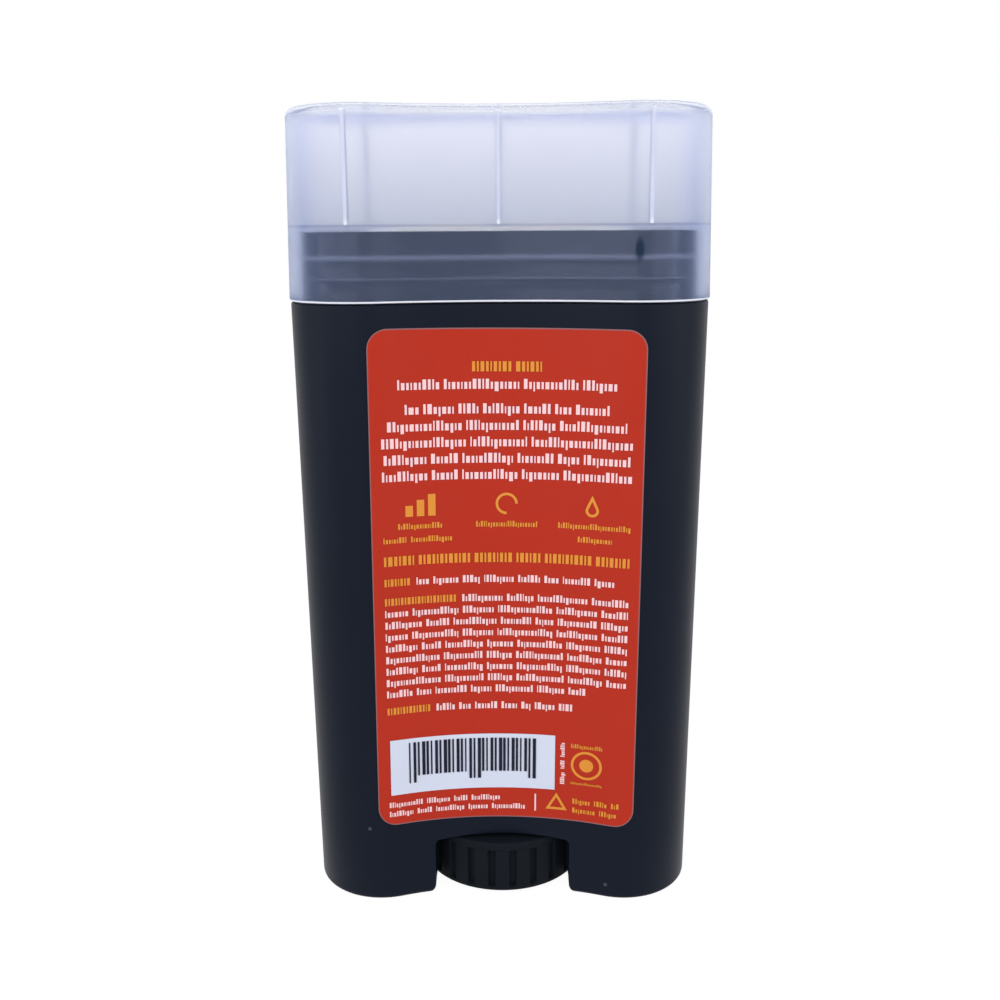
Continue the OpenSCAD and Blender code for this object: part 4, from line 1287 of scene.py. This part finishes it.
def make_amber_print():
    pieces = [print_row(*row) for row in amber_rows()]
    foot = ICON_Z - ICON_H / 2
    for i in range(3):
        left = ICON_H * (i / 2 - 0.7) - ICON_X
        pieces.append(rect(left, left + ICON_H / 3, foot, foot + ICON_H * (0.5 + 0.25 * i)))
    outer, inner = [arc(0, ICON_Z, r, 0, radians(270), 40) for r in (ICON_H / 2, ICON_H / 2 - MARK_LINE)]
    pieces.append(flat_band(outer + inner[::-1]))
    drop_r = ICON_H / 3.4
    pieces.append(flat_band(*(
        drop_outline(ICON_X, foot + drop_r, r) for r in (drop_r, drop_r - MARK_LINE)
    )))
    pieces.append(flat_band(*(circle(MARK_X, MARK_Z, r) for r in (MARK_R, MARK_R - MARK_LINE))))
    pieces.append(flat_band(circle(MARK_X, MARK_Z, MARK_CORE_R, 32)))
    low = ADDRESS_Z - ADDRESS_PITCH / 2
    pieces.append(flat_band(*(
        triangle(TRIANGLE_X, low, r) for r in (TRIANGLE_R, TRIANGLE_R - 2 * MARK_LINE)
    )))
    lay(pieces, "amber_print", "back_print_amber", "amber")


def make_code():
    """The pale panel, and upright stripes of uneven widths over it."""
    panel = rect(PANEL_X0, PANEL_X1, PANEL_Z0, PANEL_Z1)
    lay([panel], "pale_panel", "code_panel", "pale")
    first = PANEL_X0 + STRIPES_IN
    pitch = (PANEL_W - 2 * STRIPES_IN) / STRIPES
    stripes = []
    for k in range(STRIPES):
        longer = k < 2 or k > STRIPES - 3 or abs(k - STRIPES / 2) < 1.5
        low = STRIPES_TOP - (LONG_STRIPE_H if longer else STRIPE_H)
        left = first + k * pitch
        stripes.append(rect(left, left + pitch * (0.3 + 0.5 * uneven(k)), low, STRIPES_TOP))
    lay(stripes, "dark_stripes", "code_bars", "navy", lift=STRIPE_LIFT)


def make_front_print():
    """A plain frame line and a broad band on the face that the photograph doesn't show."""
    half_w, half_h = LABEL_W / 2 - FRAME_IN, LABEL_H / 2 - FRAME_IN
    outer = rounded_outline(half_w, half_h, LABEL_R)
    inner = rounded_outline(half_w - FRAME_LINE, half_h - FRAME_LINE, LABEL_R - FRAME_LINE)
    reach = half_w - 2 * FRAME_IN
    band = rect(-reach, reach, -BAND_H / 2, BAND_H / 2)
    lay([flat_band(outer, inner), band], "front_frame", "front_print", "amber", side=1)


# Surroundings


def seen_directly(tree):
    """One for rays from the camera and for those mirrored or let through, nothing for the rest."""
    path = add(tree, "LightPath").outputs
    seen = calc(tree, "MAXIMUM", path["Is Camera Ray"], path["Is Glossy Ray"])
    return calc(tree, "MAXIMUM", seen, path["Is Transmission Ray"])


def white_floor():
    """White to the eye and in reflections, with a faint shadow under the stick."""
    material = bpy.data.materials.new("white floor")
    material.use_nodes = True
    tree, principled = material.node_tree, shader_of(material)
    fill(tree, principled.inputs, {
        "Base Color": (0.9, 0.9, 0.92, 1), "Roughness": 0.9, "Specular IOR Level": 0.1,
    })
    glow = add(tree, "Emission", {"Color": (1, 1, 1, 1), "Strength": FLOOR_GLOW})
    share = calc(tree, "MULTIPLY", seen_directly(tree), FLOOR_SHARE)
    mix = add(tree, "MixShader", {0: share, 1: principled.outputs[0], 2: glow.outputs[0]})
    fill(tree, tree.nodes["Material Output"].inputs, {"Surface": mix.outputs[0]})
    return material


def add_lamp(name, place, target, size, power):
    bpy.ops.object.light_add(type="AREA", location=place)
    lamp = bpy.context.object
    lamp.name = name
    lamp.rotation_euler = (Vector(target) - Vector(place)).to_track_quat("-Z", "Y").to_euler()
    lamp.data.shape = "RECTANGLE"
    lamp.data.size, lamp.data.size_y = size
    lamp.data.energy = power


def build_stage():
    deselect()
    bpy.ops.mesh.primitive_plane_add(size=8)
    floor = named("floor")
    floor.data.materials.append(white_floor())
    world = bpy.data.worlds.new("white room")
    bpy.context.scene.world = world
    world.use_nodes = True
    tree = world.node_tree
    strength = add(
        tree, "MapRange", {"Value": seen_directly(tree), "To Min": ROOM_LIT, "To Max": ROOM_SEEN}
    )
    fill(tree, tree.nodes["Background"].inputs, {
        "Color": (1, 1, 1, 1), "Strength": strength.outputs["Result"],
    })
    for lamp in LAMPS:
        add_lamp(*lamp)


def main():
    bpy.context.scene.view_settings.view_transform = "Standard"
    add_camera()
    make_barrel()
    make_cap()
    make_dial()
    make_spindle()
    make_elevator()
    make_product()
    make_label("back_label", -1)
    make_label("front_label", 1)
    make_white_print()
    make_amber_print()
    make_code()
    make_front_print()
    build_stage()


main()
